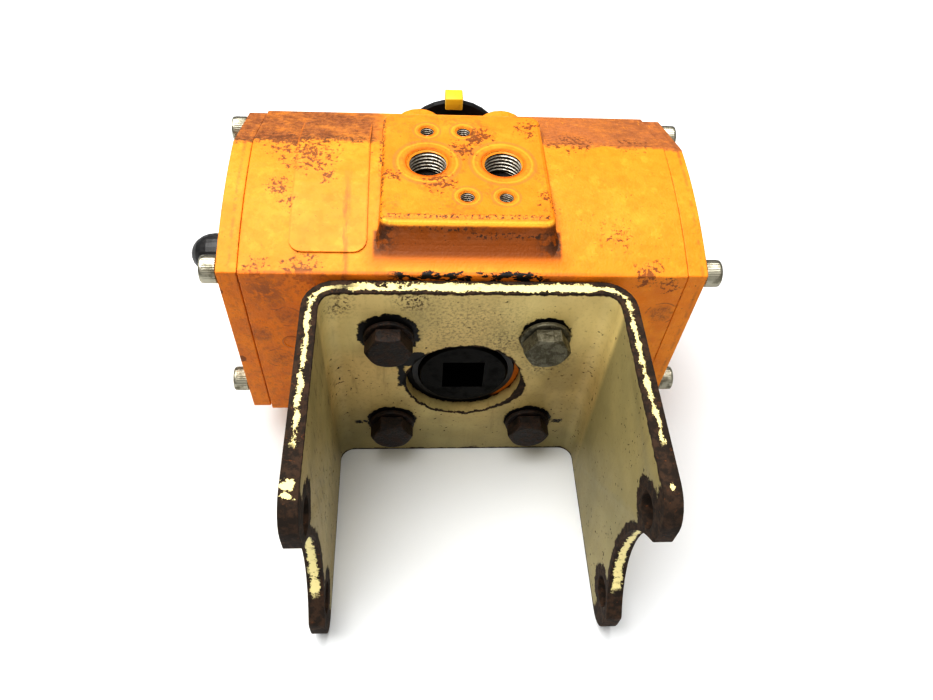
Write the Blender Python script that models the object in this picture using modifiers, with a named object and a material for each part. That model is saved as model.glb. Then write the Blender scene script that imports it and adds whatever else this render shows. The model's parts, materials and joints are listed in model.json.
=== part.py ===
"""Rotary pneumatic actuator: an offset rack and pinion in a cast housing, with its valve bracket.

The actuator frame has its origin where the shaft axis crosses the valve mounting face. X runs along
the cylinder, +Y along the shaft away from the valve, and +Z points out of the air-connection pad.
The whole frame is lifted so that the world origin lies at the bottom centre of the finished unit.
"""
import math

import bmesh
import bpy
from mathutils import Matrix, Vector

MM = 0.001
GAP = 0.3                      # clearance between pieces that touch on the real unit

# housing section, in the YZ plane (y = 0 is the valve mounting face)
BODY_DEPTH = 79.0
BODY_CENTRE_X = -1.1           # the housing sits slightly off the shaft towards the stop
BODY_HALF_LENGTH = 67.2
BODY_FRONT_TOP = 47.0
BODY_REAR_TOP = 47.0
BODY_BOTTOM = -24.0
BODY_BOTTOM_BULGE = 3.0
RIDGE_Y = 50.4
RIDGE_Z = 56.3
BODY_MID_Y = BODY_DEPTH / 2
ARCH_RISE = RIDGE_Z - BODY_FRONT_TOP
ARCH_RADIUS = (RIDGE_Y ** 2 + ARCH_RISE ** 2) / (2 * ARCH_RISE)

# cylinder and pistons; the cylinder lies one pitch radius above the shaft
GEAR_MODULE = 1.5
PINION_TEETH = 20
PITCH_RADIUS = GEAR_MODULE * PINION_TEETH / 2
PRESSURE_ANGLE = math.radians(20)
BACKLASH = 0.4
SWING = math.radians(90)
STROKE = PITCH_RADIUS * SWING
BORE_RADIUS = 31.0
BORE_Z = PITCH_RADIUS
PISTON_RADIUS = BORE_RADIUS - GAP
RACK_HALF_LENGTH = 28.5
PISTON_THICKNESS = 20.0
RACK_Y0, RACK_Y1 = 29.0, 50.0
RACK_TOP = 36.0
PISTON_BOLT_Z = 27.0
PISTON_BOLT_RADIUS = 4.0

# end caps and their screws
CAP_THICKNESS = 6.2
CAP_INSET = 0.7
CAP_INNER_X = BODY_HALF_LENGTH + GAP
CAP_OUTER_X = CAP_INNER_X + CAP_THICKNESS
SPIGOT_DEPTH = 4.2
CAP_SCREW_Y = (BODY_MID_Y - 34.0, BODY_MID_Y + 34.0)
CAP_SCREW_Z = (43.0, -13.0)
CAP_SCREW_RADIUS = 2.5
CAP_SCREW_HEAD_RADIUS = 4.25
CAP_SCREW_HEAD_HEIGHT = 5.0

# air-connection pad, to VDI/VDE 3845 (NAMUR)
PAD_TOP = 57.2
PAD_CENTRE_X = -0.7
PAD_HALF_X = 26.5
PAD_REAR_Y = 64.5
PAD_FACE_Y = 13.3              # where the front fillet would meet a vertical wall
PAD_FILLET = 14.0
PAD_RUN_OUT = 8.8              # depth at which the pad's sides have run out on the housing
PORT_ROW_Y = 39.4
PORT_SPACING = 24.0
PORT_DEPTH = 8.8
PORT_RADIUS = 6.6
PAD_HOLE_ROWS = 16.0
PAD_HOLE_RADIUS = 2.5
PAD_HOLE_DEPTH = 6.4
AIR_CHANNEL_Z = 49.5
AIR_CHANNEL_RADIUS = 2.2

# shaft, valve flange (ISO 5211 F07) and accessory face (VDI/VDE 3845)
SHAFT_LOW_END = -2.5
JOURNAL_RADIUS = 15.3
UPPER_JOURNAL_RADIUS = 11.0
LOWER_SEAT_RADIUS = 17.8
UPPER_SEAT_RADIUS = 13.3
WASHER_ROOM_RADIUS = 18.5
STUB_RADIUS = 8.0
STUB_END = 105.0
SQUARE_DRIVE = 14.0
SQUARE_DEPTH = 20.0
FLANGE_RADIUS = 44.0
FLANGE_DEPTH = 16.0
FLANGE_BOLT_PCD = 70.0
FLANGE_BOLT_OFFSET = FLANGE_BOLT_PCD / 2 * math.sin(math.radians(45))
FLANGE_BOLT_RADIUS = 4.0
FLANGE_HOLE_DEPTH = 8.0        # the upper two holes stop just short of the cylinder wall
LUG_START_Y, LUG_END_Y = 62.0, 85.0
LUG_RADIUS = 10.5
LUG_X = 15.0
LUG_ROUND_Z = 34.5             # centre of the rounded end
LUG_ROOT_Z = 10.0
LUG_HOLE_Z = 40.0
LUG_HOLE_RADIUS = 2.2

# U bracket of 5 mm plate
PLATE = 5.0
BRACKET_BACK = -GAP
BRACKET_HALF_WIDTH = 49.4
BRACKET_HALF_HEIGHT = 45.0
BRACKET_BEND = 10.0
BRACKET_LEG_END = -77.0
BRACKET_BORE_RADIUS = 19.5
NOTCH_RADIUS = 40.0
NOTCH_Y = -104.0
LEG_HOLE_Y, LEG_HOLE_Z, LEG_HOLE_RADIUS = -68.0, 30.0, 5.0
BRACKET_FRONT = BRACKET_BACK - PLATE

# flange bolts M8 with washers
WASHER_THICKNESS = 1.6
WASHER_RADIUS = 8.0
BOLT_HEAD_HEIGHT = 5.3
BOLT_HEAD_FLATS = 13.0

# travel stop on the left cap, and its protective cap
STOP_SCREW_RADIUS = 3.0
STOP_NUT_FLATS = 10.0
STOP_NUT_HEIGHT = 5.0
STOP_CAP_RADIUS = 7.8
STOP_CAP_BORE = 6.3
STOP_CAP_HEIGHT = 19.8
STOP_SCREW_OUT = 11.5

# indicator
DISC_FRONT_Y, DISC_BACK_Y = 123.8, 126.2
DISC_RADIUS = 22.0
HUB_RADIUS = 13.0
POINTER_WIDTH = 7.4
POINTER_TOP = DISC_RADIUS + 3.4
POINTER_FRONT_Y = 120.5
POINTER_BACK_Y = 127.6

# label on the housing
LABEL_X = (-54.0, -31.0)
LABEL_Y = (6.5, 68.0)
LABEL_CORNER = 4.0
LABEL_THICKNESS = 0.3

# world placement: bottom centre of the finished unit
LEFT_END = CAP_OUTER_X + GAP + STOP_CAP_HEIGHT - BODY_CENTRE_X
RIGHT_END = CAP_OUTER_X + GAP + CAP_SCREW_HEAD_HEIGHT + BODY_CENTRE_X
FRAME_SHIFT = (
    (LEFT_END - RIGHT_END) / 2,
    -(BRACKET_LEG_END + POINTER_BACK_Y) / 2,
    BRACKET_HALF_HEIGHT,
)

# orientations: the local Z axis points along the named direction
TO_X = Matrix(((0, 0, 1), (1, 0, 0), (0, 1, 0))).to_4x4()       # local x -> Y, local y -> Z
TO_Y = Matrix(((0, 1, 0), (0, 0, 1), (1, 0, 0))).to_4x4()       # local x -> Z, local y -> X
TO_Z = Matrix.Identity(4)
TO_MINUS_X = Matrix(((0, 0, -1), (0, 1, 0), (1, 0, 0))).to_4x4()
TO_MINUS_Y = Matrix(((1, 0, 0), (0, 0, -1), (0, 1, 0))).to_4x4()

LARGE_ROUND = 48               # sides of the cylinder and the flange
ROUND = 32                     # sides of a piston, a bush or a ring
SMALL_ROUND = 18               # sides of a screw
HOLE_ROUND = 14                # sides of a screw hole


# ---------------------------------------------------------------- scene set-up

def clear_scene():
    for old in list(bpy.data.objects):
        bpy.data.objects.remove(old)


def new_collection(name):
    collection = bpy.data.collections.new(name)
    bpy.context.scene.collection.children.link(collection)
    return collection


def new_empty(name, location, parent=None):
    empty = bpy.data.objects.new(name, None)
    empty.empty_display_size = 0.02
    empty.location = Vector(location) * MM
    empty.parent = parent
    PARTS.objects.link(empty)
    return empty


def new_material(name, colour, roughness, metallic=0.0):
    material = bpy.data.materials.new(name)
    material.use_nodes = True
    shader = material.node_tree.nodes["Principled BSDF"]
    shader.inputs["Base Color"].default_value = (*colour, 1.0)
    shader.inputs["Roughness"].default_value = roughness
    shader.inputs["Metallic"].default_value = metallic
    material.diffuse_color = (*colour, 1.0)
    return material


# ---------------------------------------------------------------- shape tools, sizes in millimetres

def object_from_mesh(name, mesh, matrix):
    piece = bpy.data.objects.new(name, mesh)
    piece.matrix_basis = matrix
    CUTTERS.objects.link(piece)
    return piece


def placed(matrix, location):
    return Matrix.Translation(Vector(location) * MM) @ matrix


def block(name, low, high, bevel=0.0, segments=2):
    """Box between two opposite corners."""
    size = [abs(b - a) * MM for a, b in zip(low, high)]
    centre = [(a + b) / 2 for a, b in zip(low, high)]
    mesh = bpy.data.meshes.new(name)
    shape = bmesh.new()
    bmesh.ops.create_cube(shape, size=1.0, matrix=Matrix.Diagonal((*size, 1.0)))
    shape.to_mesh(mesh)
    shape.free()
    piece = object_from_mesh(name, mesh, placed(TO_Z, centre))
    if bevel:
        add_bevel(piece, bevel, segments)
    return piece


def rod(name, axis, centre, start, end, radius, sides=SMALL_ROUND, end_radius=None):
    """Cylinder or cone along an axis matrix, between two distances from the centre point."""
    mesh = bpy.data.meshes.new(name)
    shape = bmesh.new()
    bmesh.ops.create_cone(
        shape,
        cap_ends=True,
        segments=sides,
        radius1=radius * MM,
        radius2=(radius if end_radius is None else end_radius) * MM,
        depth=(end - start) * MM,
        matrix=Matrix.Translation((0, 0, (start + end) / 2 * MM)),
    )
    shape.to_mesh(mesh)
    shape.free()
    return object_from_mesh(name, mesh, placed(axis, centre))


def turned(name, axis, centre, profile, steps=ROUND, ring=False):
    """Turned piece: (radius, height) points that run down its outer side, spun about local Z."""
    mesh = bpy.data.meshes.new(name)
    points = [(radius * MM, 0.0, height * MM) for radius, height in profile]
    edges = [(i, i + 1) for i in range(len(points) - 1)]
    if ring:
        edges.append((len(points) - 1, 0))
    mesh.from_pydata(points, edges, [])
    piece = object_from_mesh(name, mesh, placed(axis, centre))
    screw = piece.modifiers.new("turn", "SCREW")
    screw.axis = "Z"
    screw.steps = steps
    screw.render_steps = steps
    screw.use_merge_vertices = True
    screw.merge_threshold = 0.00001
    screw.use_smooth_shade = False
    return piece


def extruded(name, axis, outline, start, end):
    """Flat outline in the local XY plane, extruded along local Z from start to end."""
    curve = bpy.data.curves.new(name, "CURVE")
    curve.dimensions = "2D"
    curve.fill_mode = "BOTH"
    curve.extrude = (end - start) / 2 * MM
    spline = curve.splines.new("POLY")
    spline.points.add(len(outline) - 1)
    for point, (x, y) in zip(spline.points, outline):
        point.co = (x * MM, y * MM, 0.0, 1.0)
    spline.use_cyclic_u = True
    guide = bpy.data.objects.new(name + "_outline", curve)
    guide.matrix_basis = axis @ Matrix.Translation((0, 0, (start + end) / 2 * MM))
    CUTTERS.objects.link(guide)
    bpy.context.view_layer.update()
    evaluated = guide.evaluated_get(bpy.context.evaluated_depsgraph_get())
    mesh = bpy.data.meshes.new_from_object(evaluated)
    mesh.name = name
    shape = bmesh.new()
    shape.from_mesh(mesh)
    bmesh.ops.remove_doubles(shape, verts=shape.verts, dist=0.000002)
    bmesh.ops.recalc_face_normals(shape, faces=shape.faces)
    shape.to_mesh(mesh)
    shape.free()
    piece = object_from_mesh(name, mesh, guide.matrix_world.copy())
    bpy.data.objects.remove(guide)
    return piece


def lofted(name, rings):
    """Closed solid through rings of equal point count, given from the top ring down."""
    mesh = bpy.data.meshes.new(name)
    shape = bmesh.new()
    loops = []
    for ring in rings:
        loops.append([shape.verts.new(Vector(point) * MM) for point in ring])
    count = len(loops[0])
    for upper, lower in zip(loops, loops[1:]):
        for i in range(count):
            j = (i + 1) % count
            shape.faces.new((upper[i], lower[i], lower[j], upper[j]))
    shape.faces.new(loops[0])
    shape.faces.new(reversed(loops[-1]))
    bmesh.ops.recalc_face_normals(shape, faces=shape.faces)
    shape.to_mesh(mesh)
    shape.free()
    return object_from_mesh(name, mesh, TO_Z.copy())


def arc(centre, radius, start, end, steps):
    """Points on an arc in a plane; angles in degrees, both ends included."""
    points = []
    for i in range(steps + 1):
        angle = math.radians(start + (end - start) * i / steps)
        points.append((centre[0] + radius * math.cos(angle), centre[1] + radius * math.sin(angle)))
    return points


def hexagon(flats):
    return arc((0, 0), flats / math.sqrt(3), 0, 300, 5)


def rounded_rectangle(x0, x1, y0, y1, radius, steps=4):
    corners = (
        ((x1 - radius, y1 - radius), 0),
        ((x0 + radius, y1 - radius), 90),
        ((x0 + radius, y0 + radius), 180),
        ((x1 - radius, y0 + radius), 270),
    )
    outline = []
    for centre, start in corners:
        outline += arc(centre, radius, start, start + 90, steps)
    return outline


def add_bevel(piece, width, segments=2, angle=35):
    bevel = piece.modifiers.new("rounded_edges", "BEVEL")
    bevel.width = width * MM
    bevel.segments = segments
    bevel.limit_method = "ANGLE"
    bevel.angle_limit = math.radians(angle)
    bevel.use_clamp_overlap = True


def combine(piece, other, operation):
    step = piece.modifiers.new(operation.lower() + "_" + other.name, "BOOLEAN")
    step.operation = operation
    step.object = other
    step.solver = "EXACT"
    other.hide_render = True
    other.display_type = "WIRE"
    if other.parent is None:
        other.parent = piece.parent


def cut(piece, *others):
    for other in others:
        combine(piece, other, "DIFFERENCE")


def join(piece, *others):
    for other in others:
        combine(piece, other, "UNION")


def finish(piece, name, material, parent=None, sharp=35):
    """Name a finished piece, give it its material and parent, and move it to the parts."""
    piece.name = name
    piece.data.name = name
    piece.data.materials.clear()
    piece.data.materials.append(material)
    piece.parent = parent or ACTUATOR
    for modifier in piece.modifiers:
        if modifier.type == "BOOLEAN":
            modifier.object.parent = piece.parent
    CUTTERS.objects.unlink(piece)
    PARTS.objects.link(piece)
    piece.data.shade_smooth()
    if piece.data.polygons:
        piece.data.set_sharp_from_angle(angle=math.radians(sharp))
    else:
        for modifier in piece.modifiers:
            if modifier.type == "SCREW":
                modifier.use_smooth_shade = True
    return piece


# ---------------------------------------------------------------- housing and caps

def section_top(y):
    """Height of the housing's top surface over a point y, before the corner rounding."""
    if y <= RIDGE_Y:
        return RIDGE_Z - ARCH_RADIUS + math.sqrt(ARCH_RADIUS ** 2 - (RIDGE_Y - y) ** 2)
    return RIDGE_Z - (RIDGE_Z - BODY_REAR_TOP) * (y - RIDGE_Y) / (BODY_DEPTH - RIDGE_Y)


def section_outline(inset=0.0):
    """Housing section in (y, z): flat mounting face, arched top with a ridge, slightly bowed bottom."""
    front, rear = inset, BODY_DEPTH - inset
    outline = [(front, BODY_BOTTOM + inset)]
    arch_steps = 10
    for i in range(arch_steps + 1):
        y = front + (RIDGE_Y - front) * i / arch_steps
        outline.append((y, section_top(y) - inset))
    outline.append((rear, section_top(rear) - inset))
    outline.append((rear, BODY_BOTTOM + inset))
    bow_steps = 6
    half = BODY_MID_Y - inset
    for i in range(1, bow_steps):
        y = rear - (rear - front) * i / bow_steps
        bow = BODY_BOTTOM_BULGE * (1 - ((y - BODY_MID_Y) / half) ** 2)
        outline.append((y, BODY_BOTTOM + inset - bow))
    return list(reversed(outline))


def pad_front(drop):
    """Front face of the pad at a depth below its top: a hollow fillet that runs out on the arch."""
    centre_y = PAD_FACE_Y - PAD_FILLET
    reach = ARCH_RADIUS + PAD_FILLET
    centre_z = RIDGE_Z - ARCH_RADIUS + math.sqrt(reach ** 2 - (RIDGE_Y - centre_y) ** 2)
    depth = centre_z - (PAD_TOP - drop)
    return centre_y + math.sqrt(max(PAD_FILLET ** 2 - depth ** 2, 0.0))


def pad_block():
    """Air-connection pad: rounded edges on top, sides that flare a little, and the front fillet."""
    steps = (                      # (depth below the top, growth of the sides, rounding of the front)
        (0.0, -1.5, 2.4),
        (0.3, -0.7, 1.2),
        (0.9, -0.2, 0.4),
        (1.8, 0.0, 0.0),
        (3.5, 0.2, 0.0),
        (5.0, 0.5, 0.0),
        (6.2, 1.1, 0.0),
        (7.3, 2.1, 0.0),
        (8.2, 3.3, 0.0),
        (PAD_RUN_OUT, 4.4, 0.0),
        (13.0, 6.0, 0.0),
    )
    rings = []
    for drop, side, rounding in steps:
        outline = rounded_rectangle(
            PAD_CENTRE_X - PAD_HALF_X - side, PAD_CENTRE_X + PAD_HALF_X + side,
            pad_front(min(drop, PAD_RUN_OUT)) + rounding, PAD_REAR_Y + side / 2, 3.0 + max(side, 0.0)
        )
        rings.append([(x, y, PAD_TOP - drop) for x, y in outline])
    return lofted("pad_block", rings)


def pad_hole(name, centre, depth, radius, lead_in, steps):
    """Cutter for a blind hole that opens upward, with a countersink and a drill point."""
    profile = (
        (0.0, 1.0), (radius + lead_in, 1.0), (radius + lead_in, 0.0), (radius, -lead_in),
        (radius, -depth), (0.0, -depth - radius * 0.5),
    )
    return turned(name, TO_Z, centre, profile, steps)


def make_lug(side, end):
    """Accessory boss on the indicator side: side is its sign along X, end its sign along Z."""
    x = side * LUG_X
    start = 0 if end > 0 else 180
    outline = arc((end * LUG_ROUND_Z, x), LUG_RADIUS, start - 90, start + 90, 12)
    outline += [(end * LUG_ROOT_Z, x + end * LUG_RADIUS), (end * LUG_ROOT_Z, x - end * LUG_RADIUS)]
    return extruded("lug_%d_%d" % (side, end), TO_Y, outline, LUG_START_Y, LUG_END_Y)


def make_housing():
    left, right = BODY_CENTRE_X - BODY_HALF_LENGTH, BODY_CENTRE_X + BODY_HALF_LENGTH
    housing = extruded("housing", TO_X, section_outline(), left, right)
    add_bevel(housing, 1.0, 2)
    flange = rod("valve_flange", TO_Y, (0, 0, 0), 0.05, FLANGE_DEPTH, FLANGE_RADIUS, LARGE_ROUND)
    join(housing, pad_block(), flange)
    for side in (-1, 1):
        for end in (-1, 1):
            join(housing, make_lug(side, end))
    cut(housing, rod("bore", TO_X, (0, BODY_MID_Y, BORE_Z), -90, 90, BORE_RADIUS, LARGE_ROUND))
    room = PITCH_RADIUS + GEAR_MODULE + 0.9
    cut(housing, rod("pinion_room", TO_Y, (0, 0, 0), 8.2, 67.0, room, 40))
    cut(housing, rod("lower_bush_seat", TO_Y, (0, 0, 0), -5.0, 9.0, LOWER_SEAT_RADIUS, 40))
    cut(housing, rod("upper_bush_seat", TO_Y, (0, 0, 0), 66.0, 90.0, UPPER_SEAT_RADIUS, ROUND))
    cut(housing, rod("washer_room", TO_Y, (0, 0, 0), BODY_DEPTH, 90.0, WASHER_ROOM_RADIUS, ROUND))
    for side in (-1, 1):
        centre = (PAD_CENTRE_X + side * PORT_SPACING / 2, PORT_ROW_Y, PAD_TOP)
        cut(housing, pad_hole("port_%d" % side, centre, PORT_DEPTH, PORT_RADIUS, 0.5, 28))
        axis = TO_X if side > 0 else TO_MINUS_X
        channel = (0, PORT_ROW_Y, AIR_CHANNEL_Z)
        cut(housing, rod("air_channel_%d" % side, axis, channel, PORT_SPACING / 2, 90, AIR_CHANNEL_RADIUS, 8))
    for x, row in ((-12, 1), (0, 1), (0, -1), (12, -1)):
        centre = (PAD_CENTRE_X + x, PORT_ROW_Y + row * PAD_HOLE_ROWS, PAD_TOP)
        cut(housing, pad_hole("pad_hole_%d_%d" % (x, row), centre, PAD_HOLE_DEPTH, PAD_HOLE_RADIUS, 0.3, 16))
    for x in (-FLANGE_BOLT_OFFSET, FLANGE_BOLT_OFFSET):
        for z in (-FLANGE_BOLT_OFFSET, FLANGE_BOLT_OFFSET):
            name = "flange_hole_%d_%d" % (x, z)
            radius = FLANGE_BOLT_RADIUS + GAP
            cut(housing, rod(name, TO_Y, (x, 0, z), -1, FLANGE_HOLE_DEPTH, radius, HOLE_ROUND))
    for side in (-1, 1):
        for z in (-LUG_HOLE_Z, LUG_HOLE_Z):
            cut(housing, rod("lug_hole_%d_%d" % (side, z), TO_Y, (side * LUG_X, 0, z), 75, 90,
                             LUG_HOLE_RADIUS, 10))
        axis = TO_X if side > 0 else TO_MINUS_X
        for y in CAP_SCREW_Y:
            for z in CAP_SCREW_Z:
                name = "cap_screw_hole_%d_%d_%d" % (side, y, z)
                centre = (BODY_CENTRE_X, y, z)
                cut(housing, rod(name, axis, centre, BODY_HALF_LENGTH - 16, 90, CAP_SCREW_RADIUS + GAP,
                                 HOLE_ROUND))
    return finish(housing, "housing", CAST_ORANGE)


def make_end_cap(side, name):
    outline = section_outline(CAP_INSET)
    span = sorted(BODY_CENTRE_X + side * x for x in (CAP_INNER_X, CAP_OUTER_X))
    cap = extruded(name, TO_X, outline, *span)
    add_bevel(cap, 0.9, 2)
    axis = TO_X if side > 0 else TO_MINUS_X
    centre = (BODY_CENTRE_X, BODY_MID_Y, BORE_Z)
    inner = CAP_INNER_X - SPIGOT_DEPTH
    spigot = turned(name + "_spigot", axis, centre, (
        (0, CAP_INNER_X + 2), (PISTON_RADIUS, CAP_INNER_X + 2),
        (PISTON_RADIUS, inner + 3.3), (PISTON_RADIUS - 1.9, inner + 3.3),
        (PISTON_RADIUS - 1.9, inner + 0.9), (PISTON_RADIUS, inner + 0.9),
        (PISTON_RADIUS, inner), (0, inner),
    ))
    join(cap, spigot)
    near, far = BODY_CENTRE_X + side * (inner - 1), BODY_CENTRE_X + side * (CAP_INNER_X + 2.0)
    air_slot = block(name + "_air_slot", (near, PORT_ROW_Y - 2.4, 38.0),
                     (far, PORT_ROW_Y + 2.4, AIR_CHANNEL_Z + 2.4))
    cut(cap, air_slot)
    for y in CAP_SCREW_Y:
        for z in CAP_SCREW_Z:
            hole_name = "%s_hole_%d_%d" % (name, y, z)
            cut(cap, rod(hole_name, axis, (BODY_CENTRE_X, y, z), 60, 90, CAP_SCREW_RADIUS + GAP, HOLE_ROUND))
    if side < 0:
        cut(cap, rod(name + "_stop_hole", axis, centre, 50, 90, STOP_SCREW_RADIUS + GAP))
    return finish(cap, name, CAST_ORANGE)


def make_cap_seal(side, name):
    axis = TO_X if side > 0 else TO_MINUS_X
    middle = CAP_INNER_X - SPIGOT_DEPTH + 2.1
    outer, depth, half = BORE_RADIUS - 0.15, 1.6, 0.9
    profile = ring_profile(outer - depth, outer, middle - half, middle + half)
    seal = turned(name, axis, (BODY_CENTRE_X, BODY_MID_Y, BORE_Z), profile, ROUND, ring=True)
    return finish(seal, name, RUBBER)


def ring_profile(inner, outer, low, high):
    """Rectangular section of a ring."""
    return ((inner, high), (outer, high), (outer, low), (inner, low))


def socket_screw(name, axis, centre, seat, head_radius, head_height, shank_radius, length, socket, depth):
    """Socket-head screw: the head stands on the seat distance and the shank runs back from it."""
    head_top = seat + head_height
    profile = (
        (0, head_top), (head_radius - 0.7, head_top), (head_radius, head_top - 0.5), (head_radius, seat),
        (shank_radius, seat), (shank_radius, seat - length), (0, seat - length),
    )
    screw = turned(name, axis, centre, profile, SMALL_ROUND)
    hole = extruded(name + "_socket", axis, hexagon(socket), head_top - depth, head_top + 1)
    hole.matrix_basis = placed(Matrix.Identity(4), centre) @ hole.matrix_basis
    cut(screw, hole)
    return screw


def make_cap_screws(side, word):
    axis = TO_X if side > 0 else TO_MINUS_X
    number = 0
    for z in CAP_SCREW_Z:
        for y in CAP_SCREW_Y:
            number += 1
            name = "cap_screw_%s_%d" % (word, number)
            screw = socket_screw(name, axis, (BODY_CENTRE_X, y, z), CAP_OUTER_X + GAP, CAP_SCREW_HEAD_RADIUS,
                                 CAP_SCREW_HEAD_HEIGHT, CAP_SCREW_RADIUS, 20.0, 4.0, 2.6)
            finish(screw, name, SATIN_STEEL)


# ---------------------------------------------------------------- shaft and its bearings

def involute(angle):
    return math.tan(angle) - angle


def pinion_outline():
    """Involute pinion outline in local (z, x), with one tooth centred on +Z."""
    base = PITCH_RADIUS * math.cos(PRESSURE_ANGLE)
    root = PITCH_RADIUS - 1.25 * GEAR_MODULE
    tip = PITCH_RADIUS + GEAR_MODULE
    half_at_pitch = math.pi / (2 * PINION_TEETH) - BACKLASH / 4 / PITCH_RADIUS
    radii = [root, base + 0.2, PITCH_RADIUS + 0.3, tip]
    flank = []
    for radius in radii:
        slope = math.acos(min(1.0, base / radius))
        flank.append((radius, half_at_pitch + involute(PRESSURE_ANGLE) - involute(slope)))
    outline = []
    for tooth in range(PINION_TEETH):
        middle = 2 * math.pi * tooth / PINION_TEETH
        for radius, half in flank:
            outline.append((radius * math.cos(middle - half), radius * math.sin(middle - half)))
        for radius, half in reversed(flank):
            outline.append((radius * math.cos(middle + half), radius * math.sin(middle + half)))
    return outline


def make_pinion_shaft():
    core = PITCH_RADIUS - 1.25 * GEAR_MODULE - 0.6
    profile = (
        (0, STUB_END), (STUB_RADIUS - 0.6, STUB_END), (STUB_RADIUS, STUB_END - 0.6), (STUB_RADIUS, 84.0),
        (UPPER_JOURNAL_RADIUS, 83.6), (UPPER_JOURNAL_RADIUS, 82.7), (9.9, 82.7), (9.9, 81.0),
        (UPPER_JOURNAL_RADIUS, 81.0), (UPPER_JOURNAL_RADIUS, 52.5), (core, 52.5), (core, 27.0),
        (JOURNAL_RADIUS, 27.0), (JOURNAL_RADIUS, SHAFT_LOW_END + 0.6),
        (JOURNAL_RADIUS - 0.6, SHAFT_LOW_END), (0, SHAFT_LOW_END),
    )
    shaft = turned("pinion_shaft", TO_Y, (0, 0, 0), profile)
    join(shaft, extruded("pinion_teeth", TO_Y, pinion_outline(), 27.8, 51.2))
    half = SQUARE_DRIVE / 2
    cut(shaft, block("square_socket", (-half, SHAFT_LOW_END - 2, -half),
                     (half, SHAFT_LOW_END + SQUARE_DEPTH, half)))
    for side in (-1, 1):
        low, high = sorted((side * 5.5, side * 12.0))
        cut(shaft, block("stub_flat_%d" % side, (-12, STUB_END - 12, low), (12, STUB_END + 2, high)))
    cut(shaft, rod("indicator_screw_hole", TO_Y, (0, 0, 0), 92.0, STUB_END + 2, 2.8, 16))
    return finish(shaft, "pinion_shaft", TURNED_STEEL, SHAFT_AXIS)


def make_ring(name, inner, outer, low, high, material, parent=None, steps=ROUND):
    ring = turned(name, TO_Y, (0, 0, 0), ring_profile(inner, outer, low, high), steps, ring=True)
    return finish(ring, name, material, parent)


def make_shaft_rings():
    make_ring("lower_shaft_bush", JOURNAL_RADIUS + GAP, LOWER_SEAT_RADIUS - GAP, -1.0, 5.2, BUSH_PLASTIC)
    make_ring("lower_shaft_seal", JOURNAL_RADIUS + 0.15, LOWER_SEAT_RADIUS - 0.15, 5.5, 7.7, RUBBER)
    journal, seat = UPPER_JOURNAL_RADIUS, UPPER_SEAT_RADIUS
    make_ring("upper_shaft_seal", journal + 0.15, seat - 0.15, 71.8, 74.0, RUBBER, None, 28)
    make_ring("upper_shaft_bush", journal + GAP, seat - GAP, 74.3, 79.0, BUSH_PLASTIC, None, 28)
    make_ring("thrust_washer", journal + GAP, 17.0, 79.3, 80.7, BUSH_PLASTIC, None, 28)


def make_retaining_ring():
    outer, inner, mouth = 14.0, 10.2, 24
    outline = arc((0, 0), outer, mouth, 360 - mouth, 18)
    outline += arc((0, 0), inner, 360 - mouth, mouth, 18)
    ring = extruded("retaining_ring", TO_Y, outline, 81.2, 82.5)
    return finish(ring, "retaining_ring", SPRING_STEEL, SHAFT_AXIS)


# ---------------------------------------------------------------- rack and pistons

def rack_outline():
    """Rack side view in local (z, x) from the carriage centre; a tooth space sits over the shaft at rest."""
    pitch = math.pi * GEAR_MODULE
    slope = math.tan(PRESSURE_ANGLE)
    tip_z = PITCH_RADIUS - GEAR_MODULE
    root_z = PITCH_RADIUS + 1.25 * GEAR_MODULE
    half_at_pitch = pitch / 4 - BACKLASH / 4
    space_over_shaft = STROKE / 2
    teeth_each_way = 4
    outline = [(RACK_TOP, -RACK_HALF_LENGTH), (root_z, -RACK_HALF_LENGTH)]
    first = -int(STROKE / pitch) - teeth_each_way
    for k in range(first, teeth_each_way):
        middle = space_over_shaft + (k + 0.5) * pitch
        wide = half_at_pitch + (root_z - PITCH_RADIUS) * slope
        narrow = half_at_pitch - (PITCH_RADIUS - tip_z) * slope
        if abs(middle) + wide < RACK_HALF_LENGTH - 0.5:
            outline += [(root_z, middle - wide), (tip_z, middle - narrow)]
            outline += [(tip_z, middle + narrow), (root_z, middle + wide)]
    outline += [(root_z, RACK_HALF_LENGTH), (RACK_TOP, RACK_HALF_LENGTH)]
    return outline


def make_rack():
    rack = extruded("rack_bar", TO_Y, rack_outline(), RACK_Y0, RACK_Y1)
    for side in (-1, 1):
        axis = TO_X if side > 0 else TO_MINUS_X
        cut(rack, rod("rack_bolt_hole_%d" % side, axis, (0, BODY_MID_Y, PISTON_BOLT_Z), 12, 32,
                      PISTON_BOLT_RADIUS + GAP))
    return finish(rack, "rack_bar", TURNED_STEEL, CARRIAGE)


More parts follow.
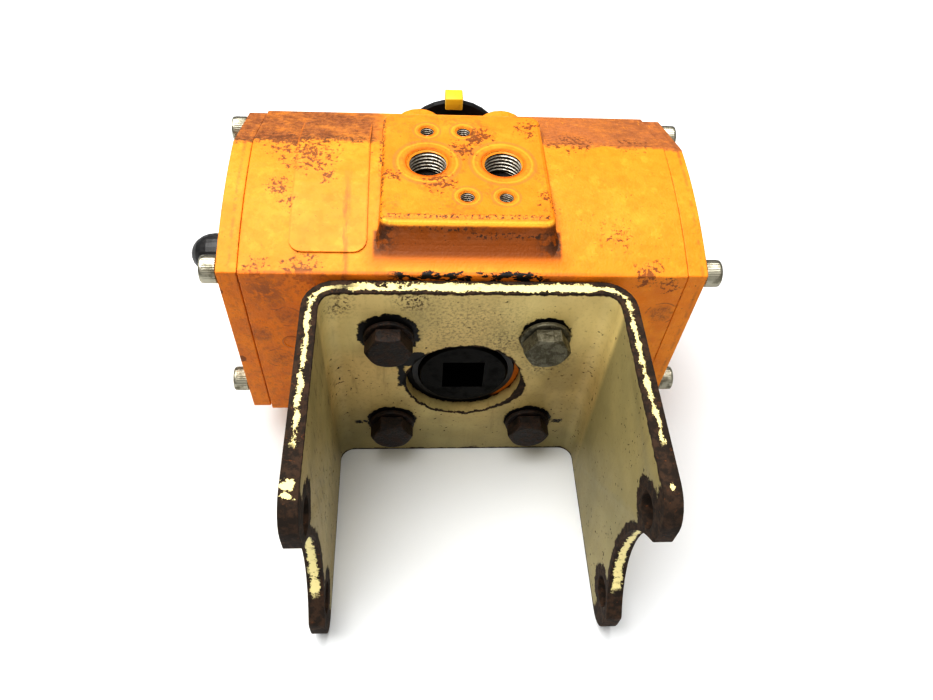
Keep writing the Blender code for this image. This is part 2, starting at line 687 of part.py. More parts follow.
def make_piston(side, word):
    axis = TO_X if side > 0 else TO_MINUS_X
    centre = (0, BODY_MID_Y, BORE_Z)
    inner = RACK_HALF_LENGTH + GAP
    outer = inner + PISTON_THICKNESS
    radius = PISTON_RADIUS
    seal_low, band_low = outer - 7.0, inner + 4.0
    profile = (
        (0, outer), (radius - 1.0, outer), (radius, outer - 1.0),
        (radius, seal_low + 3.6), (radius - 3.0, seal_low + 3.6),
        (radius - 3.0, seal_low), (radius, seal_low),
        (radius, band_low + 5.0), (radius - 1.6, band_low + 5.0),
        (radius - 1.6, band_low), (radius, band_low),
        (radius, inner + 0.8), (radius - 0.8, inner), (0, inner),
    )
    name = "piston_" + word
    piston = turned(name, axis, centre, profile)
    bolt_centre = (0, BODY_MID_Y, PISTON_BOLT_Z)
    cut(piston, rod(name + "_bolt_hole", axis, bolt_centre, inner - 5, outer + 5, PISTON_BOLT_RADIUS + GAP))
    cut(piston, rod(name + "_bolt_recess", axis, bolt_centre, outer - 9.5, outer + 5, 7.2))
    finish(piston, name, PISTON_ALUMINIUM, CARRIAGE)

    seal_profile = ring_profile(radius - 2.8, BORE_RADIUS - 0.12, seal_low + 0.3, seal_low + 3.3)
    seal = turned("piston_seal_" + word, axis, centre, seal_profile, ROUND, ring=True)
    finish(seal, "piston_seal_" + word, RUBBER, CARRIAGE)
    band_profile = ring_profile(radius - 1.4, BORE_RADIUS - 0.12, band_low + 0.3, band_low + 4.7)
    band = turned("guide_band_" + word, axis, centre, band_profile, ROUND, ring=True)
    finish(band, "guide_band_" + word, BUSH_PLASTIC, CARRIAGE)
    bolt = socket_screw("piston_bolt_" + word, axis, bolt_centre, outer - 9.2, 6.5, 8.0,
                        PISTON_BOLT_RADIUS, 26.0, 6.0, 4.0)
    finish(bolt, "piston_bolt_" + word, SATIN_STEEL, CARRIAGE)


def make_rack_guide():
    """Slide pad on the back of the rack, shaped to the cylinder wall."""
    half_width, half_length = 8.0, 11.0
    radius = BORE_RADIUS - 0.25
    spread = math.degrees(math.asin(half_width / radius))
    outline = arc((BODY_MID_Y, BORE_Z), radius, 90 - spread, 90 + spread, 8)
    outline += [(BODY_MID_Y - half_width, RACK_TOP + GAP), (BODY_MID_Y + half_width, RACK_TOP + GAP)]
    pad = extruded("rack_guide_pad", TO_X, outline, -half_length, half_length)
    return finish(pad, "rack_guide_pad", BUSH_PLASTIC, CARRIAGE)


# ---------------------------------------------------------------- travel stop

def make_travel_stop():
    centre = (BODY_CENTRE_X, BODY_MID_Y, BORE_Z)
    piston_face = STROKE / 2 + RACK_HALF_LENGTH + GAP + PISTON_THICKNESS + BODY_CENTRE_X
    tip = piston_face + 0.4
    end = CAP_OUTER_X + STOP_SCREW_OUT
    profile = (
        (0, end), (STOP_SCREW_RADIUS - 0.5, end), (STOP_SCREW_RADIUS, end - 0.5),
        (STOP_SCREW_RADIUS, tip + 0.8), (STOP_SCREW_RADIUS - 0.8, tip), (0, tip),
    )
    screw = turned("stop_screw", TO_MINUS_X, centre, profile, SMALL_ROUND)
    socket = extruded("stop_screw_socket", TO_MINUS_X, hexagon(3.0), end - 3.0, end + 1)
    socket.matrix_basis = placed(Matrix.Identity(4), centre) @ socket.matrix_basis
    cut(screw, socket)
    finish(screw, "stop_screw", SATIN_STEEL)

    nut_low = CAP_OUTER_X + GAP
    nut = extruded("stop_lock_nut", TO_MINUS_X, hexagon(STOP_NUT_FLATS), nut_low, nut_low + STOP_NUT_HEIGHT)
    nut.matrix_basis = placed(Matrix.Identity(4), centre) @ nut.matrix_basis
    add_bevel(nut, 0.5, 1)
    cut(nut, rod("stop_nut_hole", TO_MINUS_X, centre, nut_low - 2, nut_low + 10, STOP_SCREW_RADIUS + GAP))
    finish(nut, "stop_lock_nut", SATIN_STEEL)

    low = CAP_OUTER_X + GAP
    top = low + STOP_CAP_HEIGHT
    shoulder = low + 11.2
    dome = STOP_CAP_RADIUS - 0.4
    profile = [(0.0, top)]
    dome_steps = 6
    for i in range(1, dome_steps + 1):
        angle = math.radians(90 * i / dome_steps)
        profile.append((dome * math.sin(angle), shoulder + (top - shoulder) * math.cos(angle)))
    profile += [(dome, low + 2.8), (STOP_CAP_RADIUS, low + 2.4), (STOP_CAP_RADIUS, low)]
    profile += [(STOP_CAP_BORE, low), (STOP_CAP_BORE, shoulder), (4.6, shoulder + 5.0), (0.0, shoulder + 7.0)]
    cap = turned("stop_screw_cap", TO_MINUS_X, centre, profile, 28)
    finish(cap, "stop_screw_cap", BLACK_PLASTIC)


# ---------------------------------------------------------------- indicator

def make_indicator():
    profile = (
        (6.2, DISC_BACK_Y), (DISC_RADIUS - 0.7, DISC_BACK_Y), (DISC_RADIUS, DISC_BACK_Y - 0.7),
        (DISC_RADIUS, DISC_FRONT_Y + 0.7), (DISC_RADIUS - 0.7, DISC_FRONT_Y),
        (HUB_RADIUS + 1.5, DISC_FRONT_Y),
        (HUB_RADIUS, DISC_FRONT_Y - 1.5), (HUB_RADIUS, 88.5), (STUB_RADIUS + GAP, 88.5),
        (STUB_RADIUS + GAP, STUB_END + GAP), (3.3, STUB_END + GAP), (3.3, 111.0), (6.2, 111.0),
    )
    hub = turned("indicator_hub", TO_Y, (0, 0, 0), profile, ROUND, ring=True)
    finish(hub, "indicator_hub", BLACK_PLASTIC, SHAFT_AXIS)
    front, rim = DISC_FRONT_Y - GAP, DISC_RADIUS + GAP
    back = DISC_BACK_Y + GAP
    clip_depth = 17.5
    outline = (
        (POINTER_FRONT_Y, 19.8), (front, 19.8), (front, rim), (back, rim), (back, clip_depth),
        (POINTER_BACK_Y, clip_depth), (POINTER_BACK_Y, POINTER_TOP), (POINTER_FRONT_Y, POINTER_TOP),
    )
    pointer = extruded("indicator_pointer", TO_X, outline, -POINTER_WIDTH / 2, POINTER_WIDTH / 2)
    add_bevel(pointer, 0.5, 2)
    finish(pointer, "indicator_pointer", YELLOW_PLASTIC, SHAFT_AXIS)
    screw = socket_screw("indicator_screw", TO_Y, (0, 0, 0), 111.3, 5.0, 5.5, 2.5, 17.0, 4.0, 2.6)
    finish(screw, "indicator_screw", SATIN_STEEL, SHAFT_AXIS)


# ---------------------------------------------------------------- bracket and flange bolts

def u_outline():
    """Bent plate seen along Z: web behind, legs running to -Y."""
    w, b, back = BRACKET_HALF_WIDTH, BRACKET_BEND, BRACKET_BACK
    end = BRACKET_LEG_END - 2.0    # the side view trims the legs to length
    inner = w - PLATE
    outline = [(-w, end)]
    outline += arc((-w + b, back - b), b, 180, 90, 6)
    outline += arc((w - b, back - b), b, 90, 0, 6)
    outline += [(w, end), (inner, end)]
    outline += arc((w - b, back - b), b - PLATE, 0, 90, 6)
    outline += arc((-w + b, back - b), b - PLATE, 90, 180, 6)
    outline += [(-inner, end)]
    return outline


def leg_outline():
    """Side view of the bracket in (y, z): two rounded horns with a round notch between them."""
    high, end = BRACKET_HALF_HEIGHT, BRACKET_LEG_END
    corner, tip = 9.0, 2.5
    notch_angle = math.degrees(math.acos((end + tip - NOTCH_Y) / (NOTCH_RADIUS + tip)))
    tip_z = (NOTCH_RADIUS + tip) * math.sin(math.radians(notch_angle))
    upper = [(2.0, high)]
    upper += arc((end + corner, high - corner), corner, 90, 180, 6)
    upper += arc((end + tip, tip_z), tip, 180, 180 + notch_angle, 4)
    notch = arc((NOTCH_Y, 0.0), NOTCH_RADIUS, notch_angle - 1, -notch_angle + 1, 20)
    lower = [(y, -z) for y, z in reversed(upper)]
    return upper + notch + lower


def make_bracket():
    bracket = extruded("mounting_bracket", TO_Z, u_outline(), -60, 60)
    side_view = extruded("bracket_side_view", TO_X, leg_outline(), -70, 70)
    combine(bracket, side_view, "INTERSECT")
    cut(bracket, rod("bracket_bore", TO_Y, (0, 0, 0), -15, 5, BRACKET_BORE_RADIUS, LARGE_ROUND))
    for x in (-FLANGE_BOLT_OFFSET, FLANGE_BOLT_OFFSET):
        for z in (-FLANGE_BOLT_OFFSET, FLANGE_BOLT_OFFSET):
            cut(bracket, rod("bracket_hole_%d_%d" % (x, z), TO_Y, (x, 0, z), -15, 5, FLANGE_BOLT_RADIUS + 0.5,
                              HOLE_ROUND))
    for z in (-LEG_HOLE_Z, LEG_HOLE_Z):
        cut(bracket, rod("leg_hole_%d" % z, TO_X, (0, LEG_HOLE_Y, z), -60, 60, LEG_HOLE_RADIUS, 20))
    return finish(bracket, "mounting_bracket", BRACKET_CREAM)


def make_flange_bolts():
    number = 0
    for z in (FLANGE_BOLT_OFFSET, -FLANGE_BOLT_OFFSET):
        for x in (-FLANGE_BOLT_OFFSET, FLANGE_BOLT_OFFSET):
            number += 1
            seat = -BRACKET_FRONT + GAP
            profile = ring_profile(FLANGE_BOLT_RADIUS + 0.4, WASHER_RADIUS, seat, seat + WASHER_THICKNESS)
            washer = turned("flange_washer_%d" % number, TO_MINUS_Y, (x, 0, z), profile, 20, ring=True)
            finish(washer, "flange_washer_%d" % number, ZINC_STEEL if number == 2 else RUSTY_STEEL)
            under_head = seat + WASHER_THICKNESS + GAP
            name = "flange_bolt_%d" % number
            tip = 0.4 - FLANGE_HOLE_DEPTH
            bolt = rod(name, TO_MINUS_Y, (x, 0, z), tip, under_head + 1.0, FLANGE_BOLT_RADIUS, HOLE_ROUND)
            top = under_head + BOLT_HEAD_HEIGHT
            head = extruded(name + "_head", TO_MINUS_Y, hexagon(BOLT_HEAD_FLATS), under_head, top + 2)
            head.matrix_basis = placed(Matrix.Identity(4), (x, 0, z)) @ head.matrix_basis
            join(bolt, head)
            crown = turned(name + "_crown", TO_MINUS_Y, (x, 0, z), (
                (0, top), (6.3, top), (8.2, top - 1.1), (8.2, tip - 2), (0, tip - 2),
            ), SMALL_ROUND)
            combine(bolt, crown, "INTERSECT")
            finish(bolt, name, ZINC_STEEL if number == 2 else RUSTY_STEEL)


# ---------------------------------------------------------------- label

def make_label():
    """Thin label that follows the arched top, with rounded corners."""
    x0, x1 = LABEL_X
    y0, y1 = LABEL_Y
    low, high = [], []
    steps = 9
    for y in [y0 + (RIDGE_Y - y0) * i / steps for i in range(steps + 1)] + [y1]:
        low.append((y, section_top(y) + GAP))
        high.append((y, section_top(y) + GAP + LABEL_THICKNESS))
    label = extruded("label", TO_X, high[::-1] + low, x0 - 2, x1 + 2)
    trim = extruded("label_trim", TO_Z, rounded_rectangle(x0, x1, y0, y1, LABEL_CORNER), 30, 80)
    combine(label, trim, "INTERSECT")
    return finish(label, "instruction_label", CLEAR_FILM)


# ---------------------------------------------------------------- build

clear_scene()
PARTS = new_collection("rotary_pneumatic_actuator")
CUTTERS = new_collection("cutters")
ACTUATOR = new_empty("actuator_frame", FRAME_SHIFT)
SHAFT_AXIS = new_empty("shaft_axis", (0, 0, 0), ACTUATOR)
CARRIAGE = new_empty("rack_carriage", (-STROKE / 2, 0, 0), ACTUATOR)

CAST_ORANGE = new_material("cast_orange_paint", (0.85, 0.40, 0.05), 0.5)
BRACKET_CREAM = new_material("bracket_cream_paint", (0.55, 0.48, 0.28), 0.55)
SATIN_STEEL = new_material("satin_steel", (0.55, 0.54, 0.50), 0.35, 1.0)
TURNED_STEEL = new_material("turned_steel", (0.42, 0.42, 0.42), 0.3, 1.0)
SPRING_STEEL = new_material("spring_steel", (0.12, 0.12, 0.13), 0.4, 1.0)
ZINC_STEEL = new_material("zinc_steel", (0.35, 0.35, 0.32), 0.5, 1.0)
RUSTY_STEEL = new_material("rusty_steel", (0.09, 0.05, 0.035), 0.8, 0.3)
PISTON_ALUMINIUM = new_material("piston_aluminium", (0.70, 0.70, 0.72), 0.4, 1.0)
RUBBER = new_material("seal_rubber", (0.02, 0.02, 0.02), 0.7)
BUSH_PLASTIC = new_material("bearing_plastic", (0.75, 0.72, 0.62), 0.5)
BLACK_PLASTIC = new_material("black_plastic", (0.015, 0.015, 0.017), 0.45)
YELLOW_PLASTIC = new_material("yellow_plastic", (0.80, 0.56, 0.06), 0.5)
CLEAR_FILM = new_material("label_film", (0.86, 0.46, 0.08), 0.3)

make_housing()
for cap_side, cap_word in ((-1, "left"), (1, "right")):
    make_end_cap(cap_side, "end_cap_" + cap_word)
    make_cap_seal(cap_side, "cap_seal_" + cap_word)
    make_cap_screws(cap_side, cap_word)
    make_piston(cap_side, cap_word)
make_pinion_shaft()
make_shaft_rings()
make_retaining_ring()
make_rack()
make_rack_guide()
make_travel_stop()
make_indicator()
make_bracket()
make_flange_bolts()
make_label()
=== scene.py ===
"""Looks of the rotary pneumatic actuator: worn orange casting, rusty cream bracket, threads and screws.

Lengths are in millimetres in the actuator frame (X along the cylinder, +Y along the shaft away from the
valve, +Z out of the air-connection pad; origin where the shaft axis crosses the valve mounting face).
"""
import json
import math

import bmesh
import bpy
from mathutils import Matrix, Vector


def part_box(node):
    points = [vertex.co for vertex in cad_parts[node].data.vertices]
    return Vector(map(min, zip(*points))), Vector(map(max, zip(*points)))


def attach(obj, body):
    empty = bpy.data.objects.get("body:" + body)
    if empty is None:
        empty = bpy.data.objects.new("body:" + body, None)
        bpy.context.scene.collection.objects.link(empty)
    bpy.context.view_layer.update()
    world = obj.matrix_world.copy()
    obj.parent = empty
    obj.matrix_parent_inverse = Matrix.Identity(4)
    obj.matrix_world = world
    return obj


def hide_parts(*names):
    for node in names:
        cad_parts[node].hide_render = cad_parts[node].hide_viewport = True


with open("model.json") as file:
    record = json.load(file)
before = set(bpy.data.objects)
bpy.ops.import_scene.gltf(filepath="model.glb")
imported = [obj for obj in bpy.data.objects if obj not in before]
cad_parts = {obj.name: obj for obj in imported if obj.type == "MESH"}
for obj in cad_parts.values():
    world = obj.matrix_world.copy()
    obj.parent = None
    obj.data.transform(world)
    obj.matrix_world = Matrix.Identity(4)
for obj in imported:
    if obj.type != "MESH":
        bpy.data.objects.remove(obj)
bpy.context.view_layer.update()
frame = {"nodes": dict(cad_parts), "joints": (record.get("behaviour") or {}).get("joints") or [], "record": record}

MM = 0.001
SHAFT_JOINT = next(joint for joint in frame["joints"] if joint["name"] == "pinion_turn")
ORIGIN = Vector(SHAFT_JOINT["pos_m"])

# housing and pad: places on the pad are (x, y)
RIDGE_Y = 50.4
PAD_TOP = 57.2
PAD_CENTRE_X = -0.7
PORTS = ((-12.7, 39.4), (11.3, 39.4))
PORT_RADIUS = 6.55
PORT_CREST = 5.75
PORT_PITCH = 1.337
PORT_THREAD_DEPTH = 8.3
PAD_HOLES = ((-12.7, 55.4), (-0.7, 55.4), (-0.7, 23.4), (11.3, 23.4))
PAD_HOLE_RADIUS = 2.46
PAD_HOLE_CREST = 2.06
PAD_HOLE_PITCH = 0.8
PAD_HOLE_THREAD_DEPTH = 6.1

CAP_JOINT_X = 70.9
LABEL_LIFT = 0.6
RING_MARK = (-56.2, 0.0, 15.0)

# bracket: 5 mm plate bent to a U
PLATE = 5.0
BEND_CENTRE = (39.4, -10.3)
BEND_RADIUS = 10.0
BRACKET_HALF_HEIGHT = 45.0
HORN_RADIUS = 9.0
LEG_END_Y = -77.0
NOTCH_Y = -104.0
NOTCH_RADIUS = 40.0
LEG_HOLE_Y = -68.0
LEG_HOLE_Z = 30.0
BORE_RADIUS = 19.5
BOLT_OFFSET = 24.75

# screws and bolts
CAP_HEAD_RADIUS = 4.25
CAP_HEAD_HEIGHT = 5.0
CAP_SHANK_RADIUS = 2.5
CAP_SOCKET_FLATS = 4.0
CAP_KNURLS = 36
CAP_KNURL_DEPTH = 0.14
BOLT_FLATS = 13.0
BOLT_CROWN_RADIUS = 6.2
BOLT_HEAD_HEIGHT = 5.3
BOLT_SHANK_RADIUS = 4.0
WASHER_RADIUS = 8.0
WASHER_HOLE_RADIUS = 4.4

# stage, in metres and watts
SUBJECT = (0.0, 0.0, 0.05)
LIGHTS = {                         # light: place, width and depth, power, colour
    "overhead": ((-0.28, 0.12, 1.15), (1.3, 1.0), 19.0, (1.0, 0.99, 0.97)),
    "front_fill": ((0.05, -0.95, 0.75), (1.0, 0.8), 1.5, (1.0, 0.98, 0.95)),
}
SKY_HORIZON, SKY_TOP = 0.14, 0.50
SKY_COLOUR = (1.0, 0.99, 0.97, 1.0)
FLOOR_HALF = 6.0
CAMERA_PLACE = Vector((-0.00888, -0.17895, 0.25553))
CAMERA_PITCH, CAMERA_YAW, CAMERA_ROLL = 0.911758, 0.117083, 0.093672
CAMERA_LENS = 29.138


# ---------------------------------------------------------------- node recipes

class Recipe:
    """Builds the node tree of one material. Places reach it in millimetres in the actuator frame.

    colour holds the colour so far, and coat() lays another over part of it.
    """

    def __init__(self, name):
        self.material = bpy.data.materials.new(name)
        self.material.use_nodes = True
        self.tree = self.material.node_tree
        self.shader = self.tree.nodes["Principled BSDF"]
        self.colour = None
        coordinates = self.add("ShaderNodeTexCoord")
        mapping = self.add("ShaderNodeMapping")
        mapping.inputs["Scale"].default_value = (1 / MM, 1 / MM, 1 / MM)
        mapping.inputs["Location"].default_value = -ORIGIN / MM
        self.link(coordinates.outputs["Object"], mapping.inputs["Vector"])
        self.place = mapping.outputs["Vector"]
        split = self.add("ShaderNodeSeparateXYZ")
        self.link(self.place, split.inputs["Vector"])
        self.x, self.y, self.z = split.outputs

    def add(self, kind):
        return self.tree.nodes.new(kind)

    def link(self, source, target):
        if isinstance(source, bpy.types.NodeSocket):
            self.tree.links.new(source, target)
        else:
            target.default_value = source

    # arithmetic

    def math(self, operation, first, second=0.0):
        node = self.add("ShaderNodeMath")
        node.operation = operation
        self.link(first, node.inputs[0])
        self.link(second, node.inputs[1])
        return node.outputs[0]

    def chain(self, operation, values):
        result = values[0]
        for value in values[1:]:
            result = self.math(operation, result, value)
        return result

    def times(self, *values):
        return self.chain("MULTIPLY", values)

    def plus(self, *values):
        return self.chain("ADD", values)

    def most(self, *values):
        return self.chain("MAXIMUM", values)

    def least(self, *values):
        return self.chain("MINIMUM", values)

    def minus(self, first, second):
        return self.math("SUBTRACT", first, second)

    def over(self, first, second):
        """How far the first value is over the second, or 0."""
        return self.most(self.minus(first, second), 0.0)

    def absolute(self, value):
        return self.math("ABSOLUTE", value)

    def invert(self, value):
        return self.minus(1.0, value)

    def linear(self, value, base, gain):
        return self.plus(base, self.times(value, gain))

    def length(self, first, second):
        return self.math("SQRT", self.plus(self.times(first, first), self.times(second, second)))

    def mix_value(self, factor, first, second):
        return self.plus(self.times(first, self.invert(factor)), self.times(second, factor))

    def rise(self, value, low, high):
        """0 below low, 1 above high, smooth in between; low above high gives a fall."""
        node = self.add("ShaderNodeMapRange")
        node.interpolation_type = "SMOOTHSTEP"
        node.clamp = True
        self.link(value, node.inputs["Value"])
        node.inputs["From Min"].default_value = min(low, high)
        node.inputs["From Max"].default_value = max(low, high)
        result = node.outputs["Result"]
        return result if low <= high else self.invert(result)

    def between(self, value, low, high, soft):
        """1 from low to high, with soft borders."""
        above = self.rise(value, low - soft, low + soft)
        return self.times(above, self.rise(value, high + soft, high - soft))

    # patterns

    def noise(self, size, detail=3.0, roughness=0.55, stretch=(1.0, 1.0, 1.0), shift=0.0):
        """Noise with features of about that many millimetres; stretch lengthens it along an axis."""
        mapping = self.add("ShaderNodeMapping")
        mapping.inputs["Scale"].default_value = [1.0 / s for s in stretch]
        mapping.inputs["Location"].default_value = (shift, shift * 1.7, shift * 0.6)
        self.link(self.place, mapping.inputs["Vector"])
        node = self.add("ShaderNodeTexNoise")
        node.inputs["Scale"].default_value = 1.0 / size
        node.inputs["Detail"].default_value = detail
        node.inputs["Roughness"].default_value = roughness
        self.link(mapping.outputs["Vector"], node.inputs["Vector"])
        return node.outputs[0]

    def patches(self, low, high, size, *details, **where):
        """Patches where the noise is strong: 0 below low, 1 above high."""
        return self.rise(self.noise(size, *details, **where), low, high)

    def swing(self, size, *details, **where):
        """Noise about 0 instead of 0.5, to tear a border."""
        return self.minus(self.noise(size, *details, **where), 0.5)

    def distance(self, point, axes="xyz"):
        """Distance from a point, over the named axes only."""
        squares = []
        for axis, value in zip("xyz", point):
            if axis in axes:
                offset = self.minus(getattr(self, axis), value)
                squares.append(self.times(offset, offset))
        return self.math("SQRT", self.plus(*squares))

    def spot(self, point, radius, soft, axes="xyz"):
        return self.rise(self.distance(point, axes), radius + soft, radius - soft)

    def ring(self, point, radius, half_width, axes):
        away = self.absolute(self.minus(self.distance(point, axes), radius))
        return self.rise(away, half_width, 0.0)

    # the shape under the paint

    def normal(self):
        geometry = self.add("ShaderNodeNewGeometry")
        split = self.add("ShaderNodeSeparateXYZ")
        self.link(geometry.outputs["Normal"], split.inputs["Vector"])
        return split.outputs

    def edge(self, radius, low=0.02, high=0.12):
        """1 on corners sharper than the radius, 0 on open faces."""
        bevel = self.add("ShaderNodeBevel")
        bevel.samples = 4
        bevel.inputs["Radius"].default_value = radius * MM
        geometry = self.add("ShaderNodeNewGeometry")
        dot = self.add("ShaderNodeVectorMath")
        dot.operation = "DOT_PRODUCT"
        self.link(bevel.outputs["Normal"], dot.inputs[0])
        self.link(geometry.outputs["Normal"], dot.inputs[1])
        return self.rise(self.invert(dot.outputs["Value"]), low, high)

    def crevice(self, reach):
        """1 in narrow corners, 0 on open faces."""
        node = self.add("ShaderNodeAmbientOcclusion")
        node.samples = 4
        node.only_local = True
        node.inputs["Distance"].default_value = reach * MM
        return self.rise(node.outputs["AO"], 0.85, 0.35)

    def attribute(self, name):
        node = self.add("ShaderNodeAttribute")
        node.attribute_name = name
        return node.outputs["Fac"]

    # colour

    def mix(self, factor, first, second):
        node = self.add("ShaderNodeMix")
        node.data_type = "RGBA"
        node.clamp_factor = True
        self.link(factor, node.inputs[0])
        for value, socket in ((first, node.inputs[6]), (second, node.inputs[7])):
            self.link(value if isinstance(value, bpy.types.NodeSocket) else (*value, 1.0), socket)
        return node.outputs[2]

    def coat(self, colour, *amounts):
        """Lay a colour over the colour so far, by the product of the amounts."""
        self.colour = self.mix(self.times(*amounts), self.colour, colour)

    def finish(self, roughness, height, depth, metallic=0.0):
        self.link(self.colour, self.shader.inputs["Base Color"])
        self.link(roughness, self.shader.inputs["Roughness"])
        self.link(metallic, self.shader.inputs["Metallic"])
        bump = self.add("ShaderNodeBump")
        bump.inputs["Strength"].default_value = 1.0
        bump.inputs["Distance"].default_value = depth * MM
        self.link(height, bump.inputs["Height"])
        self.link(bump.outputs["Normal"], self.shader.inputs["Normal"])
        return self.material


# ---------------------------------------------------------------- colours (linear)

PAINT = (0.75, 0.264, 0.018)
PAINT_LIGHT = (0.80, 0.308, 0.028)
DEEP_PAINT_AND_SHADE = (0.66, 0.190, 0.007)
PAINT_SHADED = (0.52, 0.135, 0.006)
PALE_PAINT_AND_HIGHLIGHT = (0.90, 0.470, 0.055)
PAD_FRONT_SHADE = (0.17, 0.042, 0.002)
BROWN_GRIME_AND_SHADE = (0.24, 0.085, 0.030)
SPECK_BROWN = (0.105, 0.034, 0.011)
LIGHT_GRIME_AND_SHADE = (0.46, 0.165, 0.050)
DARK_DIRT = (0.040, 0.022, 0.014)
CREAM = (0.80, 0.70, 0.34)
KHAKI = (0.58, 0.432, 0.188)
KHAKI_DULL = (0.39, 0.295, 0.125)
KHAKI_LEG = (0.205, 0.192, 0.098)
CREAM_STAIN = (0.22, 0.145, 0.055)
RUST_DARK = (0.026, 0.018, 0.013)
RUST_BROWN = (0.058, 0.034, 0.021)
RUST_ORANGE = (0.27, 0.095, 0.028)
BLACK_OIL_AND_SHADE = (0.008, 0.007, 0.007)
THREAD_CREST = (0.62, 0.59, 0.52)
THREAD_DULL = (0.36, 0.31, 0.24)
THREAD_DIRT_AND_SHADE = (0.05, 0.035, 0.022)
FLOOR_COOL = (0.73, 0.75, 0.77)
FLOOR_PALE = (0.77, 0.785, 0.80)

PAINT_SHINE = 0.28                 # old paint reflects less than fresh varnish


# ---------------------------------------------------------------- orange casting

SMUDGES = (                        # (centre, radius, softness, strength) of worn and grimy places
    ((-58.5, 30.0, 54.0), 3.0, 3.0, 0.75),
    ((-55.0, 24.0, 53.0), 2.5, 3.0, 0.6),
    ((-50.0, 44.0, 56.0), 7.0, 7.0, 0.75),
    ((-57.0, 50.0, 56.0), 6.0, 7.0, 0.9),
    ((-44.0, 33.0, 56.0), 2.0, 2.5, 0.7),
    ((-30.5, 44.0, 56.0), 0.6, 1.0, 0.9),
    ((54.0, 1.5, 46.5), 3.2, 3.5, 0.95),
    ((60.0, 0.0, 43.0), 3.0, 4.0, 0.5),
    ((-63.0, 3.0, 46.0), 3.0, 3.0, 0.8),
    ((-50.0, 1.0, 46.5), 5.0, 4.0, 0.8),
    ((4.0, 53.0, 57.0), 4.0, 3.5, 0.95),
    ((-1.5, 46.0, 57.0), 3.5, 4.0, 0.85),
    ((-9.0, 29.5, 57.0), 4.0, 4.0, 0.70),
    ((-24.0, 33.0, 57.0), 2.5, 3.0, 0.7),
    ((25.0, 22.0, 57.0), 3.0, 4.0, 0.6),
    ((21.0, 57.0, 57.0), 4.0, 4.0, 0.45),
    ((45.0, 13.0, 51.0), 5.0, 5.0, 0.25),
    ((35.5, 53.0, 54.0), 5.0, 6.0, 0.70),
    ((56.0, 52.0, 53.0), 4.0, 5.0, 0.80),
    ((28.5, 50.8, 56.0), 1.6, 2.0, 0.95),
)
PRINTS = (                         # (x, z, radius) of round prints on the mounting face
    (-56.0, 27.6, 4.4), (-65.6, 18.5, 4.6), (-61.5, 6.4, 4.6), (-59.5, 34.5, 3.4), (62.0, 30.0, 5.0))
DARK_SPOTS = ((-75.0, 38.5, 1.2), (-74.2, 5.0, 1.6), (-76.0, 8.5, 1.0), (-68.5, 43.0, 0.5))


class CastPaint(Recipe):
    """Orange paint on a sand-cast skin: mottled, grimy on the far facets, chipped on the corners.

    The functions below lay it part by part; grimy_facets, smudges and wear_and_specks add masks for the rest.
    """

    def __init__(self, name, film):
        super().__init__(name)
        self.film = film
        self.grain = self.patches(0.44, 0.60, 1.5, 5.0, 0.7, shift=11.0)
        self.mottle = self.patches(0.46, 0.62, 3.4, 5.0, 0.65, shift=47.0)
        self.cloud = self.patches(0.30, 0.62, 8.0, 4.0, 0.6, shift=19.0)
        self.pad_top = self.rise(self.z, 56.5, 56.9)
        self.from_middle = self.distance((PAD_CENTRE_X, 0.0, 0.0), "x")


def base_coat(m):
    m.colour = PAINT
    m.coat(PAINT_LIGHT, m.patches(0.35, 0.7, 26.0, 2.0))
    m.coat(DEEP_PAINT_AND_SHADE, m.patches(0.52, 0.72, 9.0, 4.0, shift=31.0), 0.45)
    m.coat(DEEP_PAINT_AND_SHADE, m.patches(0.50, 0.70, 1.6, 3.0, shift=7.0), 0.16)
    m.coat(DEEP_PAINT_AND_SHADE, m.mottle, 0.30)
    m.coat(PALE_PAINT_AND_HIGHLIGHT, m.patches(0.54, 0.66, 5.0, 5.0, 0.65, shift=53.0), 0.20)


